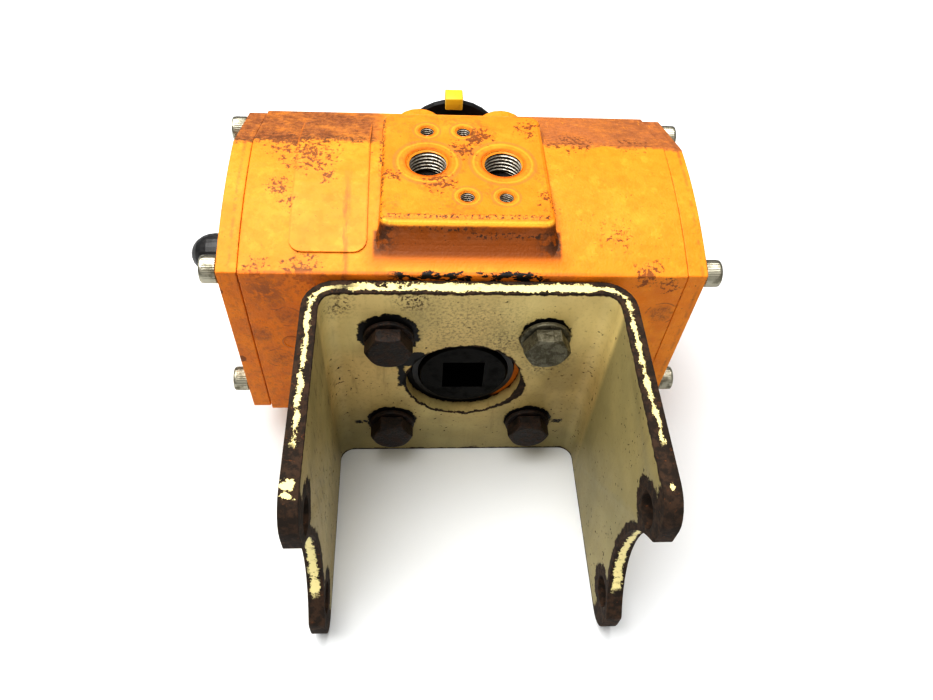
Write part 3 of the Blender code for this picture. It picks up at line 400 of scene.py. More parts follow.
def grimy_facets(m):
    """Grime behind the ridge, left and right of the pad, with a torn border and a dirty ridge line."""
    lift = LABEL_LIFT if m.film else 0.0
    below_pad = m.rise(m.z, PAD_TOP - 0.45 + lift, PAD_TOP - 0.75 + lift)
    on_ridge = m.rise(m.z, 44.0, 50.0)
    left = m.rise(m.x, -24.0, -34.0)
    ragged = m.plus(m.y, m.times(m.swing(7.0, 5.0, 0.65, shift=3.0), 7.0))
    facet = m.times(m.rise(ragged, RIDGE_Y - 1.6, RIDGE_Y + 1.0), m.rise(m.z, 30.0, 44.0), below_pad)

    left_band = m.times(facet, left)
    m.left_grime = m.times(
        left_band, m.linear(m.grain, 0.60, 0.4), m.linear(m.cloud, 0.45, 0.6))
    m.coat(LIGHT_GRIME_AND_SHADE, left_band, m.linear(m.cloud, 0.25, 0.45))
    m.coat(BROWN_GRIME_AND_SHADE, m.left_grime)
    m.coat(SPECK_BROWN, left_band, m.patches(0.48, 0.60, 2.6, 5.0, 0.72, shift=61.0), 0.40)
    ridge_line = m.times(
        m.between(ragged, RIDGE_Y - 1.5, RIDGE_Y + 3.0, 1.2), left,
        m.patches(0.47, 0.58, 1.1, 4.0, 0.7, shift=5.0), below_pad, on_ridge)
    m.coat(DARK_DIRT, ridge_line, 0.75)

    border = m.plus(m.x, m.times(m.minus(m.cloud, 0.5), 7.0))
    right_band = m.times(facet, m.rise(border, 19.0, 26.0))
    m.coat(LIGHT_GRIME_AND_SHADE, right_band, m.linear(m.cloud, 0.65, 0.3))
    m.coat(BROWN_GRIME_AND_SHADE, right_band, m.linear(m.grain, 0.12, 0.35))
    right_dark = m.times(
        right_band, m.rise(m.x, 40.0, 56.0), m.patches(0.40, 0.62, 5.0, 5.0, 0.65, shift=81.0))
    right_line = m.times(
        m.between(ragged, RIDGE_Y - 0.6, RIDGE_Y + 1.2, 0.8), m.rise(m.x, 26.0, 29.0), below_pad,
        on_ridge)
    m.coat(BROWN_GRIME_AND_SHADE, m.most(right_dark, m.times(right_line, m.grain)), 0.65)
    scratch = m.patches(0.66, 0.72, 0.8, 2.0, stretch=(1.0, 9.0, 9.0), shift=13.0)
    m.coat(PAINT_LIGHT, right_band, scratch, 0.45)
    m.right_band = right_band


def smudges(m):
    worn = m.most(*(
        m.times(m.spot(centre, radius, soft), amount) for centre, radius, soft, amount in SMUDGES))
    speck_noise = m.plus(m.noise(1.5, 5.0, 0.72, shift=58.0), m.times(worn, 0.18))
    m.specks = m.times(m.rise(speck_noise, 0.585, 0.64), m.rise(worn, 0.0, 0.2))
    m.coat(SPECK_BROWN, m.specks, 0.85)
    m.coat(LIGHT_GRIME_AND_SHADE, worn, 0.25)


def cap_joints(m):
    """Dirt in the joints between the housing and its end caps."""
    line = m.ring((0.0, 0.0, 0.0), CAP_JOINT_X, 0.9, "x")
    dirt = m.plus(m.times(m.rise(m.y, 38.0, 52.0), 0.5),
                  m.times(m.patches(0.42, 0.58, 3.0, 4.0, 0.65, shift=87.0), 0.6))
    m.coat(BROWN_GRIME_AND_SHADE, line, dirt, 0.6)


def mounting_face(m):
    """Prints, smudges and dark spots round the bracket, oily black round the shaft, and painted shade over the
    face, heavier to the left.
    """
    front = m.rise(m.y, 1.4, 0.5)
    to_left = m.rise(m.x, 60.0, 10.0)
    torn = m.swing(1.3, 4.0, 0.7, shift=97.0)
    grimy = m.times(front, m.patches(0.44, 0.60, 8.0, 4.0, shift=23.0))
    m.coat(LIGHT_GRIME_AND_SHADE, grimy, m.linear(to_left, 0.15, 0.4))
    # painted shade: a shaded copy of the paint over the mounting face, heavier towards the left
    m.coat(PAINT_SHADED, front, m.linear(to_left, 0.05, 0.55))
    m.coat(BROWN_GRIME_AND_SHADE, front, m.spot((-61.0, 0.0, 39.5), 5.0, 5.0, "xz"),
           m.patches(0.42, 0.54, 3.0, 5.0, 0.65), 0.8)
    for x, z, radius in PRINTS:
        inside = m.times(m.spot((x, 0.0, z), radius - 1.2, 1.4, "xz"), m.linear(m.grain, 0.25, 0.45))
        outline = m.times(m.ring((x, 0.0, z), radius, 0.45, "xz"), m.mottle)
        m.coat(BROWN_GRIME_AND_SHADE, front, m.most(inside, m.times(outline, 0.7)))
    dust = m.patches(0.50, 0.62, 2.0, 5.0, 0.72, shift=95.0)
    m.coat(BROWN_GRIME_AND_SHADE, front, dust, to_left, 0.35)
    m.coat(BROWN_GRIME_AND_SHADE, front, m.ring(RING_MARK, 3.0, 0.5, "xz"), 0.7)
    for x, z, radius in DARK_SPOTS:
        blot = m.plus(m.spot((x, 0.0, z), radius, 1.6, "xz"), m.times(torn, 0.8))
        m.coat(SPECK_BROWN, m.rise(blot, 0.42, 0.62), front, 0.85)
    from_axis = m.distance((0.0, 0.0, 0.0), "xz")
    oily = m.times(m.rise(m.y, 2.5, 1.0), m.rise(from_axis, 24.0, 22.0))
    clean = m.times(m.rise(m.x, 10.0, 14.0), m.rise(m.z, 6.0, 2.0))
    m.coat(BLACK_OIL_AND_SHADE, oily, m.invert(clean))


def streak_beside_label(m):
    streak = m.times(
        m.between(m.x, -38.6, -36.4, 0.8), m.rise(m.y, 40.0, 25.0), m.rise(m.z, 30.0, 44.0),
        m.patches(0.40, 0.60, 1.6, 4.0, stretch=(1.0, 5.0, 5.0), shift=3.0))
    m.coat(BROWN_GRIME_AND_SHADE, streak, 0.5)


def pad_face(m):
    """Grime on the pad; a darker and a lighter ring round each hole, painted shade and highlight of its spot
    face's edge; and painted shadow of the pad before its foot.
    """
    on_pad = m.times(m.pad_top, m.rise(m.from_middle, 30.0, 28.0), 0.0 if m.film else 1.0)
    m.coat(DEEP_PAINT_AND_SHADE, on_pad, m.linear(m.cloud, 0.20, 0.25))
    m.coat(BROWN_GRIME_AND_SHADE, on_pad, m.grain, m.patches(0.45, 0.62, 11.0, 3.0, shift=59.0), 0.32)
    # painted shade and painted highlight: a darker and a lighter ring round each hole stand in for the edge of its
    # spot face
    for holes, shade_ring, highlight_ring in ((PORTS, (10.6, 0.9), (9.4, 0.6)), (PAD_HOLES, (4.5, 0.5), (3.7, 0.4))):
        for x, y in holes:
            m.coat(LIGHT_GRIME_AND_SHADE, m.ring((x, y, 0.0), *shade_ring, "xy"), m.pad_top, 0.50)
            m.coat(PALE_PAINT_AND_HIGHLIGHT, m.ring((x, y, 0.0), *highlight_ring, "xy"), m.pad_top, 0.35)
    m.coat(SPECK_BROWN, m.specks, on_pad, 0.6)
    # painted shadow: deeper, shaded paint on the casting before the pad's foot, where the pad shades it
    before_pad = m.times(m.rise(m.y, 13.0, 7.0), m.rise(m.y, 1.0, 4.0),
                         m.rise(m.z, 44.0, 46.0), m.rise(m.from_middle, 34.0, 26.0))
    m.coat(DEEP_PAINT_AND_SHADE, before_pad, 0.85)
    m.coat(PAINT_SHADED, before_pad, 0.15)


def pad_front(m):
    """Lower side of the pad: painted shade and chips, with a painted highlight along the upper edge and dirt at
    the ends.
    """
    side = m.times(m.rise(m.y, 14.6, 13.4), m.rise(m.y, 2.0, 4.0),
                   m.rise(m.from_middle, 29.0, 27.6), m.rise(m.z, 48.2, 49.6))
    # painted highlight along the pad's rounded upper edge
    m.coat(PALE_PAINT_AND_HIGHLIGHT, side, m.between(m.z, 55.6, 56.6, 0.3), 0.8)
    top_line = m.times(m.rise(m.z, 56.4, 56.8), m.between(m.y, 13.8, 15.4, 0.5),
                       m.rise(m.from_middle, 28.0, 27.0))
    left_line = m.times(m.rise(m.z, 55.0, 56.0), m.between(m.x, -28.0, -26.2, 0.5))
    speckle = m.patches(0.50, 0.56, 1.0, 3.0, 0.7, shift=83.0)
    m.coat(DARK_DIRT, m.most(top_line, left_line), speckle, 0.85)

    chips = m.patches(0.53, 0.58, 1.2, 3.0, 0.65, shift=41.0)
    upper_chips = m.times(side, m.between(m.z, 54.2, 55.4, 0.4), chips, m.rise(m.x, 10.0, -6.0))
    lower_chips = m.times(side, m.between(m.z, 52.4, 54.0, 0.4), chips, m.rise(m.x, -4.0, 2.0))
    end_dirt = m.times(
        side, m.most(m.spot((-27.0, 10.0, 53.0), 4.0, 3.5), m.spot((26.0, 9.0, 52.0), 4.5, 4.0)),
        m.patches(0.42, 0.54, 2.2, 5.0, 0.7, shift=9.0))
    below_edge = m.rise(m.z, 56.0, 55.0)
    m.coat(PAD_FRONT_SHADE, side, below_edge, 0.90)
    soot = m.patches(0.38, 0.60, 4.0, 5.0, 0.65, shift=2.0)
    m.coat(BROWN_GRIME_AND_SHADE, side, below_edge, m.rise(m.z, 50.5, 53.5), soot, 0.6)
    m.coat(DARK_DIRT, m.most(upper_chips, lower_chips, end_dirt), 0.9)


def behind_bracket(m):
    """Chips and black dirt along the bracket's upper edge."""
    ragged = m.plus(m.y, m.times(m.swing(1.6, 4.0, 0.7, shift=43.0), 3.4))
    chips = m.patches(0.50, 0.53, 2.2, 4.0, 0.7, stretch=(2.0, 1.0, 1.0), shift=91.0)
    m.coat(BLACK_OIL_AND_SHADE, m.rise(ragged, 1.2, 0.9), m.rise(m.z, 43.0, 44.0),
           m.between(m.x, -24.0, 24.0, 3.0), chips)


def openings(m):
    """Painted shade: black inside the ports and the tapped holes, and a shaded rim on each port."""
    inside = m.rise(m.z, 55.4, 54.8)
    for x, y in PORTS:
        # painted shade: black down in the port
        m.coat(BLACK_OIL_AND_SHADE, m.spot((x, y, 0.0), 7.2, 0.2, "xy"), inside)
        rim = m.ring((x, y, 0.0), 7.3, 0.8, "xy")
        m.coat(PAINT_SHADED, rim, m.rise(m.z, 55.8, 56.2), 0.6)
    for x, y in PAD_HOLES:
        # painted shade: black down in the tapped hole
        m.coat(BLACK_OIL_AND_SHADE, m.spot((x, y, 0.0), 3.0, 0.2, "xy"), inside)


def wear_and_specks(m):
    m.wear = m.times(m.edge(0.8), m.patches(0.50, 0.60, 1.8, 4.0, 0.65, shift=17.0))
    exposed = m.most(m.rise(m.absolute(m.x), 60.0, 64.0), m.pad_top, m.rise(m.y, 60.0, 70.0))
    m.coat(BROWN_GRIME_AND_SHADE, m.wear, m.linear(exposed, 0.25, 0.5))
    # dirt and painted shade: brown in narrow corners, heavier where patchy dirt lies
    corner_dirt_and_shade = m.patches(0.4, 0.65, 3.0, 4.0, shift=29.0)
    m.coat(BROWN_GRIME_AND_SHADE, m.crevice(3.0), m.linear(corner_dirt_and_shade, 0.25, 0.5))
    fly_specks = m.patches(0.69, 0.73, 0.9, 2.0, shift=37.0)
    m.coat(DARK_DIRT, fly_specks, m.patches(0.42, 0.6, 16.0, 2.0, shift=1.0), 0.6)


def film_border(m):
    """Darker outline of the label, worked out from its CAD node."""
    label = bpy.data.objects["instruction_label"]
    across = [((label.matrix_world @ vertex.co - ORIGIN) / MM).x for vertex in label.data.vertices]
    left, right = min(across), max(across)
    sides = m.most(m.between(m.x, left, left + 0.5, 0.15), m.between(m.x, right - 0.5, right, 0.15))
    m.coat(DEEP_PAINT_AND_SHADE, m.most(sides, m.edge(0.5, 0.01, 0.08)), 0.40)


def cast_surface(m):
    dirt = m.most(m.left_grime, m.times(m.right_band, 0.6), m.times(m.wear, 0.6))
    roughness = m.plus(0.36 if m.film else 0.42, m.times(dirt, 0.3), m.times(m.noise(2.5), 0.14))
    skin = m.plus(m.times(m.noise(0.75, 2.0, 0.5), 0.25 if m.film else 0.8),
                  m.times(m.noise(4.5, 2.0), 0.9), m.times(dirt, 0.5, m.grain))
    m.shader.inputs["Specular IOR Level"].default_value = PAINT_SHINE
    return m.finish(roughness, skin, 0.16)


def cast_paint(name, film=False):
    """Paint of the housing and caps, or what is seen of it through the clear label film."""
    m = CastPaint(name, film)
    base_coat(m)
    grimy_facets(m)
    smudges(m)
    cap_joints(m)
    mounting_face(m)
    streak_beside_label(m)
    pad_face(m)
    pad_front(m)
    behind_bracket(m)
    openings(m)
    wear_and_specks(m)
    if film:
        film_border(m)
    return cast_surface(m)


# ---------------------------------------------------------------- cream bracket

WEB_STAINS = (                     # (centre, radius, softness, strength)
    ((-17.0, 0.0, 42.0), 5.0, 4.0, 1.0),
    ((-40.0, 0.0, 38.0), 3.0, 4.0, 0.8),
    ((-4.0, 0.0, 30.0), 12.0, 9.0, 0.45),
    ((9.0, 0.0, 33.0), 9.0, 8.0, 0.35),
    ((27.0, 0.0, 12.5), 7.0, 5.0, 0.6),
    ((12.0, 0.0, 21.0), 6.0, 5.0, 0.7),
    ((30.0, 0.0, 15.0), 4.0, 5.0, 0.4),
    ((-38.0, 0.0, 41.0), 3.0, 3.0, 0.8),
    ((25.0, 0.0, 11.0), 5.0, 4.0, 0.5),
)
BOLT_SEATS = ((-1, 1, 10.0), (1, 1, 8.4), (-1, -1, 8.8), (1, -1, 8.8))     # (side, level, reach of the painted shadow)


class BracketPaint(Recipe):
    """Cream paint on torch-cut plate: rust borders every cut face, the leg holes and the horn tips."""

    def __init__(self, name):
        super().__init__(name)
        self.ragged = self.swing(3.2, 6.0, 0.68, shift=12.0)
        self.fine = self.swing(0.8, 4.0, 0.7, shift=21.0)
        self.high = self.absolute(self.z)
        self.on_leg = self.rise(self.y, -12.0, -16.0)
        self.on_web = self.rise(self.y, -8.0, -6.5)
        self.from_axis = self.distance((0.0, 0.0, 0.0), "xz")

        # depth through the plate, 0 on its outer face, and the faces that cut across it
        across_x = self.over(self.absolute(self.x), BEND_CENTRE[0])
        across_y = self.over(self.y, BEND_CENTRE[1])
        across = self.length(across_x, across_y)
        self.depth = self.minus(BEND_RADIUS, across)
        normal_x, normal_y, _ = self.normal()
        along = self.plus(self.times(across_x, self.absolute(normal_x)),
                          self.times(across_y, self.absolute(normal_y)))
        self.cut_face = self.rise(self.math("DIVIDE", along, self.most(across, 0.01)), 0.62, 0.45)

        # distance in from the outline
        over_z = self.over(self.high, BRACKET_HALF_HEIGHT - HORN_RADIUS)
        over_y = self.over(LEG_END_Y + HORN_RADIUS, self.y)
        self.from_outline = self.minus(HORN_RADIUS, self.length(over_z, over_y))
        self.from_notch = self.minus(self.distance((0.0, NOTCH_Y, 0.0), "yz"), NOTCH_RADIUS)

    def jagged(self, value, coarse, fine=0.0):
        """The value moved by the coarse and the fine noise, so that its border is torn."""
        moved = self.plus(value, self.times(self.ragged, coarse))
        return self.plus(moved, self.times(self.fine, fine)) if fine else moved


def plate_faces(m):
    """Cream paint, stained and scuffed and darker on the legs, with painted shade low on the web, painted light
    towards its top and a painted highlight near the right bend.
    """
    web = m.invert(m.on_leg)
    m.colour = KHAKI
    m.coat(KHAKI_DULL, m.patches(0.35, 0.7, 22.0, 3.0))
    m.coat(CREAM_STAIN, m.patches(0.55, 0.75, 3.0, 4.0, 0.6, stretch=(1.0, 1.0, 7.0), shift=4.0), 0.4)
    m.coat(CREAM_STAIN, m.patches(0.5, 0.72, 1.4, 3.0, shift=8.0), 0.3)
    m.coat(CREAM, m.patches(0.5, 0.7, 30.0, 2.0, shift=44.0), 0.35)
    # painted highlight: a soft cream patch on the web near the right bend
    m.coat(CREAM, m.spot((33.0, 0.0, 26.0), 8.0, 22.0, "xz"), web, 0.45)
    # painted light: the web lighter towards its top
    m.coat(CREAM, m.rise(m.z, 8.0, 36.0), web, 0.25)
    m.coat(KHAKI_LEG, m.on_leg, m.linear(m.rise(m.x, -5.0, 5.0), 0.50, 0.22))
    # painted shade: the web darker towards its bottom
    m.coat(KHAKI_LEG, m.rise(m.z, 12.0, -40.0), web, 0.65)
    for centre, radius, soft, amount in WEB_STAINS:
        freckles = m.patches(0.48, 0.60, 1.0, 4.0, 0.7, shift=radius)
        m.coat(RUST_BROWN, m.spot(centre, radius, soft, "xz"), freckles, web, amount)
    wear_side = m.times(m.on_leg, m.rise(m.y, -62.0, -50.0), m.rise(m.x, 10.0, -10.0))
    scuffs = m.patches(0.56, 0.66, 2.0, 5.0, 0.7, stretch=(1.0, 1.0, 5.0), shift=55.0)
    m.coat(RUST_DARK, wear_side, scuffs, 0.7)


def face_rust(m):
    """Rust on the plate faces: a thin border, the horns, their holes, the notch and the bore's rim."""
    border = m.rise(m.jagged(m.least(m.from_outline, m.plus(m.from_notch, -1.0)), 3.0), 1.1, 0.6)
    from_hole = m.least(*(m.distance((0.0, LEG_HOLE_Y, z), "yz") for z in (LEG_HOLE_Z, -LEG_HOLE_Z)))
    near_hole = m.rise(m.jagged(from_hole, 9.0, 2.0), 9.6, 9.0)
    horn_end = m.rise(m.jagged(m.y, 9.0, 2.0), -67.5, -68.5)
    notch_band = m.rise(m.jagged(m.from_notch, 5.0), 2.6, 2.0)
    reach = m.plus(BORE_RADIUS + 0.6, m.times(m.spot((20.0, 0.0, -8.0), 6.0, 6.0, "xz"), 2.2))
    rim = m.rise(m.minus(m.jagged(m.from_axis, 4.2), reach), 0.3, -0.2)
    specks = m.times(m.patches(0.655, 0.68, 1.5, 3.0, 0.6, shift=33.0),
                     m.patches(0.42, 0.6, 14.0, 2.0, shift=6.0))
    return m.most(border, m.times(m.on_leg, m.most(near_hole, horn_end, notch_band)),
                  m.times(m.on_web, rim), specks)


def edge_rust(m, inner_wall):
    """Rust on the cut faces: a cream stripe is left along their middle."""
    off_middle = m.minus(m.depth, PLATE / 2)
    on_notch = m.times(m.on_leg, m.rise(m.from_notch, 1.2, 0.6))
    drift = m.times(m.swing(20.0, 2.0, shift=65.0), 2.4)
    wander = m.absolute(m.plus(off_middle, drift, m.times(m.ragged, 1.3)))
    corner = m.times(m.rise(m.absolute(m.x), 34.0, 38.0), m.rise(m.y, -18.0, -10.0))
    half_width = m.plus(
        0.62, m.times(m.rise(m.y, -18.0, -8.0), 0.95), m.times(on_notch, 0.65),
        m.times(corner, -0.8), m.times(m.swing(4.5, 5.0, 0.68, shift=61.0), 3.4))
    outside_stripe = m.minus(m.plus(wander, m.times(m.fine, 3.0)), half_width)

    flakes = m.patches(0.60, 0.63, 2.6, 5.0, 0.7, stretch=(2.2, 2.2, 1.0), shift=67.0)
    scraped = m.times(m.spot((-37.0, -3.0, BRACKET_HALF_HEIGHT), 3.0, 5.0),
                      m.patches(0.40, 0.52, 1.6, 4.0, 0.7, shift=79.0))
    outer_chips = m.times(m.rise(m.depth, 2.0, 1.2), m.patches(0.53, 0.56, 1.8, 4.0, 0.7, shift=73.0),
                          m.rise(m.y, -8.0, -6.0))
    worn = m.most(
        m.rise(outside_stripe, -0.08, 0.08), m.times(flakes, m.rise(m.y, -8.0, -18.0)),
        m.times(flakes, m.rise(m.x, 30.0, -24.0)), scraped, outer_chips)

    bare_tip = m.rise(m.jagged(m.y, 10.0), -56.0, -58.0)
    bare_notch = m.rise(m.jagged(m.high, 8.0), 21.0, 23.0)
    bare = m.least(bare_tip, m.most(m.invert(on_notch), bare_notch))
    left_over = m.most(
        m.spot((-47.6, -67.2, BRACKET_HALF_HEIGHT), 1.5, 2.6), m.spot((-47.2, -69.8, 44.6), 1.1, 2.4),
        m.spot((47.0, -69.0, 44.8), 0.5, 2.2))
    torn = m.swing(1.7, 4.0, 0.65, shift=85.0)
    outside_patch = m.invert(m.rise(m.plus(left_over, m.times(torn, 1.5)), 0.44, 0.49))
    rust = m.most(m.times(worn, outside_patch), m.times(bare, outside_patch))
    wall_rust = m.rise(m.jagged(m.absolute(off_middle), 4.0), 1.9, 2.2)
    return m.mix_value(inner_wall, rust, wall_rust)


def web_oil_and_shadow(m):
    """Black: oily marks as a drip left of the bore and as dashes at the lower bolts, and painted shadow round each
    bolt's seat.
    """
    drip = m.times(m.between(m.jagged(m.x, 4.0), -22.3, -19.7, 0.4),
                   m.between(m.jagged(m.z, 5.0), -2.5, 17.0, 0.5))
    blob = m.most(m.spot((-19.0, 0.0, 12.5), 3.4, 1.5, "xz"), m.spot((-15.5, 0.0, 14.0), 2.6, 2.0, "xz"))
    drop = m.spot((-18.6, 0.0, -5.0), 1.0, 0.3, "xz")
    dashes = m.times(
        m.most(m.between(m.x, -38.0, -33.5, 0.6), m.between(m.x, 31.0, 38.0, 0.6)),
        m.between(m.jagged(m.z, 3.0, 2.4), -26.3, -24.2, 0.3),
        m.patches(0.40, 0.46, 1.8, 3.0, 0.7, shift=77.0))
    oil_and_shadow = m.most(drip, m.rise(m.plus(blob, m.ragged), 0.45, 0.55), drop, dashes)
    # painted shadow: a dark ring round each bolt's seat, reaching furthest above it
    for side, height, reach in BOLT_SEATS:
        from_bolt = m.distance((side * BOLT_OFFSET, 0.0, height * BOLT_OFFSET + 0.8), "xz")
        oil_and_shadow = m.most(oil_and_shadow, m.rise(m.jagged(from_bolt, 5.0), reach, reach - 0.5))
    return m.times(oil_and_shadow, m.on_web, m.invert(m.cut_face))


def bracket_surface(m, rust, oil_and_shadow):
    roughness = m.plus(0.42, m.times(rust, 0.32), m.times(m.noise(3.0, 2.0), 0.12))
    height = m.plus(
        m.invert(m.most(rust, oil_and_shadow)), m.times(rust, m.fine, 1.6), m.times(m.noise(0.8, 2.0), 0.25),
        m.times(m.noise(6.0, 2.0), 0.5))
    m.shader.inputs["Specular IOR Level"].default_value = PAINT_SHINE
    return m.finish(roughness, height, 0.16)


def bracket_paint(name):
    m = BracketPaint(name)
    inner_wall = m.times(m.rise(m.from_axis, BORE_RADIUS + 1.0, BORE_RADIUS + 0.4), m.on_web)
    rust = m.mix_value(m.cut_face, face_rust(m), edge_rust(m, inner_wall))
    oil_and_shadow = web_oil_and_shadow(m)
    rust_colour = m.mix(m.patches(0.42, 0.62, 2.2, 4.0, 0.6, shift=15.0), RUST_DARK, RUST_BROWN)
    bloom = m.times(m.patches(0.62, 0.76, 1.1, 3.0, shift=27.0), 0.4)
    rust_colour = m.mix(bloom, rust_colour, RUST_ORANGE)
    plate_faces(m)
    m.coat(CREAM, m.cut_face, m.invert(inner_wall))
    m.coat(CREAM_STAIN, m.cut_face, m.patches(0.58, 0.7, 2.0, 4.0, shift=71.0), 0.4)
    m.coat(rust_colour, rust)
    m.coat(BLACK_OIL_AND_SHADE, oil_and_shadow)
    return bracket_surface(m, rust, oil_and_shadow)


# ---------------------------------------------------------------- metals, plastics and the floor

def corroded(name, base, patch, bloom, metallic, rough):
    """Weathered steel fastener: pitted, with rust patches and a lighter bloom."""
    m = Recipe(name)
    blotch = m.patches(0.42, 0.60, 2.4, 5.0, 0.65)
    m.colour = base
    m.coat(patch, blotch)
    m.coat(bloom, m.patches(0.58, 0.70, 0.8, 4.0, 0.7, shift=5.0), 0.7)
    m.coat(bloom, m.edge(0.6), m.patches(0.45, 0.6, 1.5, shift=9.0), 0.5)
    # dirt and painted shade: black in narrow corners of the fastener
    m.coat(BLACK_OIL_AND_SHADE, m.crevice(1.5), 0.7)
    height = m.plus(m.noise(1.3, 5.0, 0.7), m.times(blotch, 0.4))
    return m.finish(m.linear(blotch, rough, 0.12), height, 0.28, metallic)


def machined(name, base, dark, rough, grain_axis, tarnish=0.35):
    """Turned or ground metal: fine lay along one axis, darker stains, painted shade in the crevices and a painted
    highlight on the sharp corners.
    """
    m = Recipe(name)
    stretch = [9.0 if axis == grain_axis else 1.0 for axis in "xyz"]
    lay = m.noise(0.5, 3.0, 0.6, stretch)
    stain = m.patches(0.48, 0.68, 4.0, 4.0, 0.6, shift=3.0)
    m.colour = base
    # stains, and painted shade in narrow corners
    m.coat(dark, m.plus(m.times(stain, tarnish), m.times(m.crevice(1.6), 0.6)))
    m.coat(dark, m.rise(lay, 0.55, 0.7), 0.2)
    # painted highlight: a lighter copy of the metal on its sharp corners
    m.coat([min(1.0, c * 1.5) for c in base], m.edge(0.3), 0.3)
    roughness = m.plus(rough, m.times(stain, 0.16), m.times(lay, 0.1))
    return m.finish(roughness, m.plus(lay, m.times(m.noise(2.0), 0.4)), 0.03, 1.0)


def thread_metal(name):
    """Cut thread in the casting: bright crests, grooves darkened by dirt and painted shade, and paint run over the
    mouth.
    """
    m = Recipe(name)
    groove = m.attribute("groove")
    from_port = m.least(*(m.distance((x, y, 0.0), "xy") for x, y in PORTS))
    mouth = m.plus(0.45, m.times(m.rise(from_port, 8.0, 7.5), 0.55), m.times(m.noise(1.8), 0.4))
    painted = m.rise(m.minus(m.minus(PAD_TOP, m.z), mouth), 0.1, -0.1)
    m.colour = THREAD_CREST
    m.coat(THREAD_DULL, m.patches(0.45, 0.65, 1.2))
    # dirt and painted shade: the grooves darker than the crests
    m.coat(THREAD_DIRT_AND_SHADE, m.rise(groove, 0.30, 0.85))
    m.coat(PAINT_LIGHT, painted)
    roughness = m.plus(0.28, m.times(groove, 0.4), m.times(m.noise(0.6, 2.0), 0.1))
    metallic = m.times(m.rise(groove, 0.9, 0.4), m.invert(painted))
    return m.finish(roughness, m.noise(0.5), 0.03, metallic)


def moulded(name, base, worn, rough):
    """Moulded plastic or rubber: fine skin, scuffs, slightly worn corners and painted shade in narrow corners."""
    m = Recipe(name)
    scuff = m.patches(0.50, 0.68, 3.5, 5.0, 0.65, shift=2.0)
    m.colour = base
    m.coat(worn, scuff, 0.5)
    m.coat(worn, m.edge(0.5), m.patches(0.4, 0.6, 1.5), 0.6)
    # painted shade: a darker copy of the base colour in narrow corners
    m.coat([c * 0.3 for c in base], m.crevice(2.0), 0.5)
    roughness = m.plus(rough, m.times(scuff, 0.12), m.times(m.noise(0.8, 2.0), 0.08))
    return m.finish(roughness, m.noise(0.6), 0.05)


def floor_finish(name):
    m = Recipe(name)
    m.colour = FLOOR_COOL
    m.coat(FLOOR_PALE, m.noise(180.0, 2.0))
    return m.finish(0.75, m.noise(3.0, 2.0), 0.01)


FINISHES = {                       # material: its recipe and what the recipe is given
    "cast_orange_paint": (cast_paint,),
    "label_film": (cast_paint, True),
    "bracket_cream_paint": (bracket_paint,),
    "rusty_steel": (corroded, (0.009, 0.006, 0.005), (0.034, 0.018, 0.011), (0.11, 0.046, 0.02), 0.1, 0.55),
    "zinc_steel": (corroded, (0.16, 0.15, 0.11), (0.085, 0.078, 0.052), (0.34, 0.32, 0.25), 0.6, 0.42),
    "satin_steel": (machined, (0.37, 0.352, 0.285), (0.09, 0.08, 0.05), 0.25, "x", 0.65),
    "turned_steel": (machined, (0.34, 0.34, 0.34), (0.08, 0.075, 0.07), 0.28, "y"),
    "spring_steel": (machined, (0.12, 0.12, 0.13), (0.03, 0.03, 0.035), 0.35, "y"),
    "piston_aluminium": (machined, (0.72, 0.72, 0.74), (0.40, 0.40, 0.42), 0.34, "x"),
    "seal_rubber": (moulded, (0.014, 0.014, 0.014), (0.045, 0.043, 0.040), 0.45),
    "bearing_plastic": (moulded, (0.70, 0.67, 0.56), (0.52, 0.47, 0.36), 0.45),
    "black_plastic": (moulded, (0.010, 0.010, 0.011), (0.040, 0.038, 0.036), 0.34),
    "yellow_plastic": (moulded, (0.78, 0.52, 0.035), (0.36, 0.22, 0.03), 0.46),
    "thread_metal": (thread_metal,),
    "oily_steel": (machined, (0.012, 0.0115, 0.011), (0.003, 0.003, 0.003), 0.24, "y", 0.8),
}
MATERIALS = {name: recipe(name, *values) for name, (recipe, *values) in FINISHES.items()}


# ---------------------------------------------------------------- mesh tools

def add_object(name, shape, material):
    """Turn a bmesh into a smooth-shaded object of the scene."""
    mesh = bpy.data.meshes.new(name)
    shape.to_mesh(mesh)
    shape.free()
    mesh.materials.append(material)
    mesh.shade_smooth()
    made = bpy.data.objects.new(name, mesh)
    bpy.context.scene.collection.objects.link(made)
    return made


def new_piece(name, shape, material, body, nodes=(), sharp=32):
    """Turn a bmesh in actuator millimetres into a piece that rides on a body."""
    bmesh.ops.transform(shape, matrix=Matrix.Translation(ORIGIN) @ Matrix.Scale(MM, 4), verts=shape.verts)
    bmesh.ops.recalc_face_normals(shape, faces=shape.faces)
    piece = add_object(name, shape, MATERIALS[material])
    piece.data.set_sharp_from_angle(angle=math.radians(sharp))
    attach(piece, body)
    if nodes:
        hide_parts(*nodes)


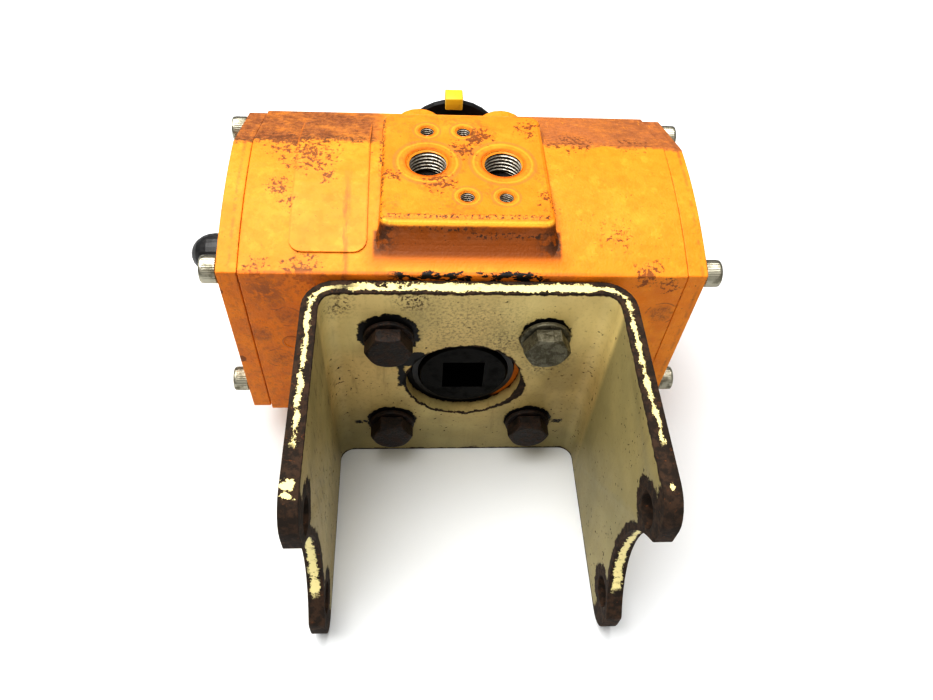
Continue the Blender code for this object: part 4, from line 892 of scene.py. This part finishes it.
def polar_piece(centre, axis, rings, steps, closed=False, grooves=None):
    """Surface from rings about an axis. A ring maps an angle to (radius, height); a number is a point."""
    shape = bmesh.new()
    layer = shape.verts.layers.float.new("groove") if grooves else None
    axis = Vector(axis)
    side = Vector((0, 0, 1)) if abs(axis.z) < 0.5 else Vector((0, 1, 0))
    other = axis.cross(side)
    centre = Vector(centre)
    loops = []
    for index, ring in enumerate(rings):
        if not callable(ring):
            loops.append([shape.verts.new(centre + axis * ring)])
            continue
        loop = []
        for step in range(steps):
            angle = 2 * math.pi * step / steps
            radius, height = ring(angle)
            direction = side * math.cos(angle) + other * math.sin(angle)
            vertex = shape.verts.new(centre + direction * radius + axis * height)
            if layer:
                vertex[layer] = grooves[index](angle)
            loop.append(vertex)
        loops.append(loop)
    pairs = list(zip(loops, loops[1:]))
    if closed:
        pairs.append((loops[-1], loops[0]))
    for first, second in pairs:
        for step in range(steps):
            after = (step + 1) % steps
            if len(first) == 1:
                shape.faces.new((first[0], second[step], second[after]))
            elif len(second) == 1:
                shape.faces.new((first[step], second[0], first[after]))
            else:
                shape.faces.new((first[step], second[step], second[after], first[after]))
    return shape


def level(radius, height):
    return lambda angle: (radius, height)


def hexagon_radius(angle, flats):
    """Distance from the centre to a hexagon's side in that direction."""
    within = (angle + math.pi / 6) % (math.pi / 3) - math.pi / 6
    return flats / 2 / math.cos(within)


def rounded(radius, height, fillet):
    """Rings that round the corner between a side wall and a top face, in four steps."""
    turns = [math.pi / 2 * step / 4 for step in range(5)]
    return [level(radius - fillet + fillet * math.cos(turn), height - fillet + fillet * math.sin(turn))
            for turn in turns]


def refined(node, body, slot, width, segments):
    """Finer copy of a CAD node with rounded corners, which stands for it."""
    shape = bmesh.new()
    shape.from_mesh(frame["nodes"][node].data)
    bmesh.ops.remove_doubles(shape, verts=shape.verts, dist=0.002 * MM)
    bmesh.ops.dissolve_limit(shape, angle_limit=math.radians(0.6), verts=shape.verts, edges=shape.edges)
    piece = add_object(node + "_finished", shape, MATERIALS[slot])
    bevel = piece.modifiers.new("rounded_edges", "BEVEL")
    bevel.width = width * MM
    bevel.segments = segments
    bevel.limit_method = "ANGLE"
    bevel.angle_limit = math.radians(38)
    bevel.harden_normals = True
    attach(piece, body)
    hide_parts(node)


# ---------------------------------------------------------------- threads

THREAD_START = -0.12
THREAD_GAP = 0.06                  # between the thread's root and the CAD hole


def thread_piece(name, centre, wall, crest, pitch, depth, steps, levels_per_pitch):
    """Helical thread lining a blind hole, with a chamfered start."""
    levels = int(depth / pitch * levels_per_pitch)
    root = wall - THREAD_GAP

    def groove_at(angle, height):
        phase = (height / pitch + angle / (2 * math.pi)) % 1.0
        away = abs(2 * phase - 1)
        return min(1.0, max(0.0, (away - 0.12) / 0.76))

    def radius_at(angle, height):
        radius = crest + (root - crest) * groove_at(angle, height)
        lead_in = root - max(0.0, -height - 0.35) * 1.2
        return max(radius, lead_in)

    rings, grooves = [], []
    for index in range(levels + 1):
        height = THREAD_START - (depth + THREAD_START) * index / levels
        rings.append(lambda angle, h=height: (radius_at(angle, h), h))
        grooves.append(lambda angle, h=height: groove_at(angle, h))
    for height in (-depth, THREAD_START):
        rings.append(level(wall, height))
        grooves.append(lambda angle: 1.0)
    shape = polar_piece(centre, (0, 0, 1), rings, steps, closed=True, grooves=grooves)
    new_piece(name, shape, "thread_metal", "housing", sharp=50)


def make_threads():
    for number, (x, y) in enumerate(PORTS, 1):
        thread_piece("port_thread_%d" % number, (x, y, PAD_TOP), PORT_RADIUS, PORT_CREST, PORT_PITCH,
                     PORT_THREAD_DEPTH, 72, 12)
    for number, (x, y) in enumerate(PAD_HOLES, 1):
        thread_piece("pad_thread_%d" % number, (x, y, PAD_TOP), PAD_HOLE_RADIUS, PAD_HOLE_CREST,
                     PAD_HOLE_PITCH, PAD_HOLE_THREAD_DEPTH, 40, 8)


# ---------------------------------------------------------------- fasteners

def node_extents(node):
    """Middle, low and high corner of a CAD node, in actuator millimetres."""
    low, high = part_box(node)
    return ((low + high) / 2 - ORIGIN) / MM, (low - ORIGIN) / MM, (high - ORIGIN) / MM


def make_cap_screws():
    """Socket-head cap screws with a knurled head."""

    def knurl(height):
        def ring(angle):
            return CAP_HEAD_RADIUS - CAP_KNURL_DEPTH * (0.5 + 0.5 * math.cos(CAP_KNURLS * angle)), height
        return ring

    def socket(height, grow=0.0):
        return lambda angle: (hexagon_radius(angle, CAP_SOCKET_FLATS + grow), height)

    for word, direction in (("left", -1), ("right", 1)):
        for number in range(1, 5):
            node = "cap_screw_%s_%d" % (word, number)
            middle, low, high = node_extents(node)
            tip, top = (low.x, high.x) if direction > 0 else (-high.x, -low.x)
            seat = top - CAP_HEAD_HEIGHT
            rings = [tip, level(2.1, tip), level(CAP_SHANK_RADIUS, tip + 0.5),
                     level(CAP_SHANK_RADIUS, seat), level(CAP_HEAD_RADIUS - 0.25, seat),
                     level(CAP_HEAD_RADIUS - 0.12, seat + 0.15),
                     knurl(seat + 0.3), knurl(seat + 3.7), level(CAP_HEAD_RADIUS, seat + 3.9)]
            rings += rounded(CAP_HEAD_RADIUS, top, 0.55)
            rings += [socket(top, 0.35), socket(top - 0.2), socket(top - 2.6), top - 3.2]
            shape = polar_piece((0, middle.y, middle.z), (direction, 0, 0), rings, 144)
            new_piece(node + "_finished", shape, "satin_steel", "housing", (node,))


def make_flange_bolts():
    """Hexagon bolts with a chamfered crown, on worn washers."""

    def outline(inset, height):
        return lambda angle: (hexagon_radius(angle, BOLT_FLATS) - inset, height)

    def chamfer(top, scale=1.0):
        def ring(angle):
            out = (hexagon_radius(angle, BOLT_FLATS) - BOLT_CROWN_RADIUS) * scale
            return BOLT_CROWN_RADIUS + out, top - out * 0.62
        return ring

    for number in range(1, 5):
        slot = "zinc_steel" if number == 2 else "rusty_steel"
        node = "flange_bolt_%d" % number
        middle, low, high = node_extents(node)
        top, tip = -low.y, -high.y
        under = top - BOLT_HEAD_HEIGHT
        rings = [tip, level(3.4, tip), level(BOLT_SHANK_RADIUS, tip + 0.6), level(BOLT_SHANK_RADIUS, under),
                 outline(0.9, under), outline(0.25, under + 0.05), outline(0.0, under + 0.35),
                 chamfer(top - 0.25), chamfer(top - 0.05, 0.93), level(BOLT_CROWN_RADIUS, top - 0.05),
                 level(BOLT_CROWN_RADIUS - 0.5, top), level(3.0, top - 0.15), top - 0.25]
        shape = polar_piece((middle.x, 0, middle.z), (0, -1, 0), rings, 96)
        new_piece(node + "_finished", shape, slot, "housing", (node,), sharp=24)

        node = "flange_washer_%d" % number
        middle, low, high = node_extents(node)
        bottom, top = -high.y, -low.y
        rings = [level(WASHER_HOLE_RADIUS + 0.1, bottom), level(WASHER_RADIUS - 0.3, bottom),
                 level(WASHER_RADIUS, bottom + 0.3)]
        rings += rounded(WASHER_RADIUS, top, 0.5)
        rings += [level(WASHER_HOLE_RADIUS + 0.3, top), level(WASHER_HOLE_RADIUS, top - 0.3)]
        shape = polar_piece((middle.x, 0, middle.z), (0, -1, 0), rings, 72, closed=True)
        new_piece(node + "_finished", shape, slot, "housing", (node,))


def make_casting_ring():
    """Small raised ring cast on the mounting face, left of the bracket."""
    section = ((3.1, -0.2), (3.0, 0.12), (2.7, 0.22), (2.4, 0.12), (2.3, -0.2))
    shape = polar_piece(RING_MARK, (0, -1, 0), [level(*point) for point in section], 48, closed=True)
    new_piece("casting_ring_mark", shape, "cast_orange_paint", "housing")


# ---------------------------------------------------------------- carried-over CAD nodes

def dress_nodes():
    """Give every CAD node the finish of its slot. The shaft and its lower bush are seen black and oily."""
    finish_of = {part["node"]: part["material_slot"] for part in frame["record"]["subparts"]}
    finish_of.update(pinion_shaft="oily_steel", lower_shaft_bush="black_plastic")
    for name, node in frame["nodes"].items():
        node.data.materials.clear()
        node.data.materials.append(MATERIALS[finish_of[name]])


# ---------------------------------------------------------------- stage

def make_floor():
    shape = bmesh.new()
    bmesh.ops.create_grid(shape, x_segments=1, y_segments=1, size=FLOOR_HALF)
    floor = add_object("floor", shape, floor_finish("floor_paint"))


def make_light(name, place, size, power, colour):
    """Rectangular lamp that points at the subject."""
    data = bpy.data.lights.new(name, "AREA")
    data.shape = "RECTANGLE"
    data.size, data.size_y = size
    data.energy = power
    data.color = colour
    light = bpy.data.objects.new(name, data)
    light.location = place
    light.rotation_mode = "QUATERNION"
    light.rotation_quaternion = (Vector(SUBJECT) - Vector(place)).to_track_quat("-Z", "Y")
    bpy.context.scene.collection.objects.link(light)


def make_world():
    """Sky dome, bright overhead and dimmer towards the horizon."""
    world = bpy.data.worlds.new("studio")
    world.use_nodes = True
    bpy.context.scene.world = world
    tree = world.node_tree
    background = tree.nodes["Background"]
    coordinates = tree.nodes.new("ShaderNodeTexCoord")
    split = tree.nodes.new("ShaderNodeSeparateXYZ")
    strength = tree.nodes.new("ShaderNodeMapRange")
    strength.inputs["To Min"].default_value = SKY_HORIZON
    strength.inputs["To Max"].default_value = SKY_TOP
    tree.links.new(coordinates.outputs["Generated"], split.inputs["Vector"])
    tree.links.new(split.outputs["Z"], strength.inputs["Value"])
    tree.links.new(strength.outputs["Result"], background.inputs["Strength"])
    background.inputs["Color"].default_value = SKY_COLOUR


def make_camera():
    """Hand-held view from above the valve side, turned a little to the right and tilted."""
    pitch, yaw, roll = CAMERA_PITCH, CAMERA_YAW, CAMERA_ROLL
    forward = Vector((math.sin(yaw) * math.cos(pitch), math.cos(yaw) * math.cos(pitch), -math.sin(pitch)))
    level_right = Vector((math.cos(yaw), -math.sin(yaw), 0.0))
    level_up = level_right.cross(forward)
    right = math.cos(roll) * level_right + math.sin(roll) * level_up
    up = -math.sin(roll) * level_right + math.cos(roll) * level_up
    data = bpy.data.cameras.new("camera")
    data.lens = CAMERA_LENS
    data.sensor_width = 36.0
    data.clip_start = 0.01
    camera = bpy.data.objects.new("camera", data)
    rotation = Matrix((right, up, -forward)).transposed().to_4x4()
    camera.matrix_world = Matrix.Translation(CAMERA_PLACE) @ rotation
    bpy.context.scene.collection.objects.link(camera)
    bpy.context.scene.camera = camera


# ---------------------------------------------------------------- build

dress_nodes()
refined("mounting_bracket", "housing", "bracket_cream_paint", 0.45, 3)
refined("indicator_pointer", "shaft", "yellow_plastic", 0.2, 2)
make_threads()
make_cap_screws()
make_flange_bolts()
make_casting_ring()
make_floor()
make_world()
for light_name, settings in LIGHTS.items():
    make_light(light_name, *settings)
make_camera()
bpy.context.scene.view_settings.view_transform = "Standard"
bpy.context.scene.view_settings.look = "High Contrast"
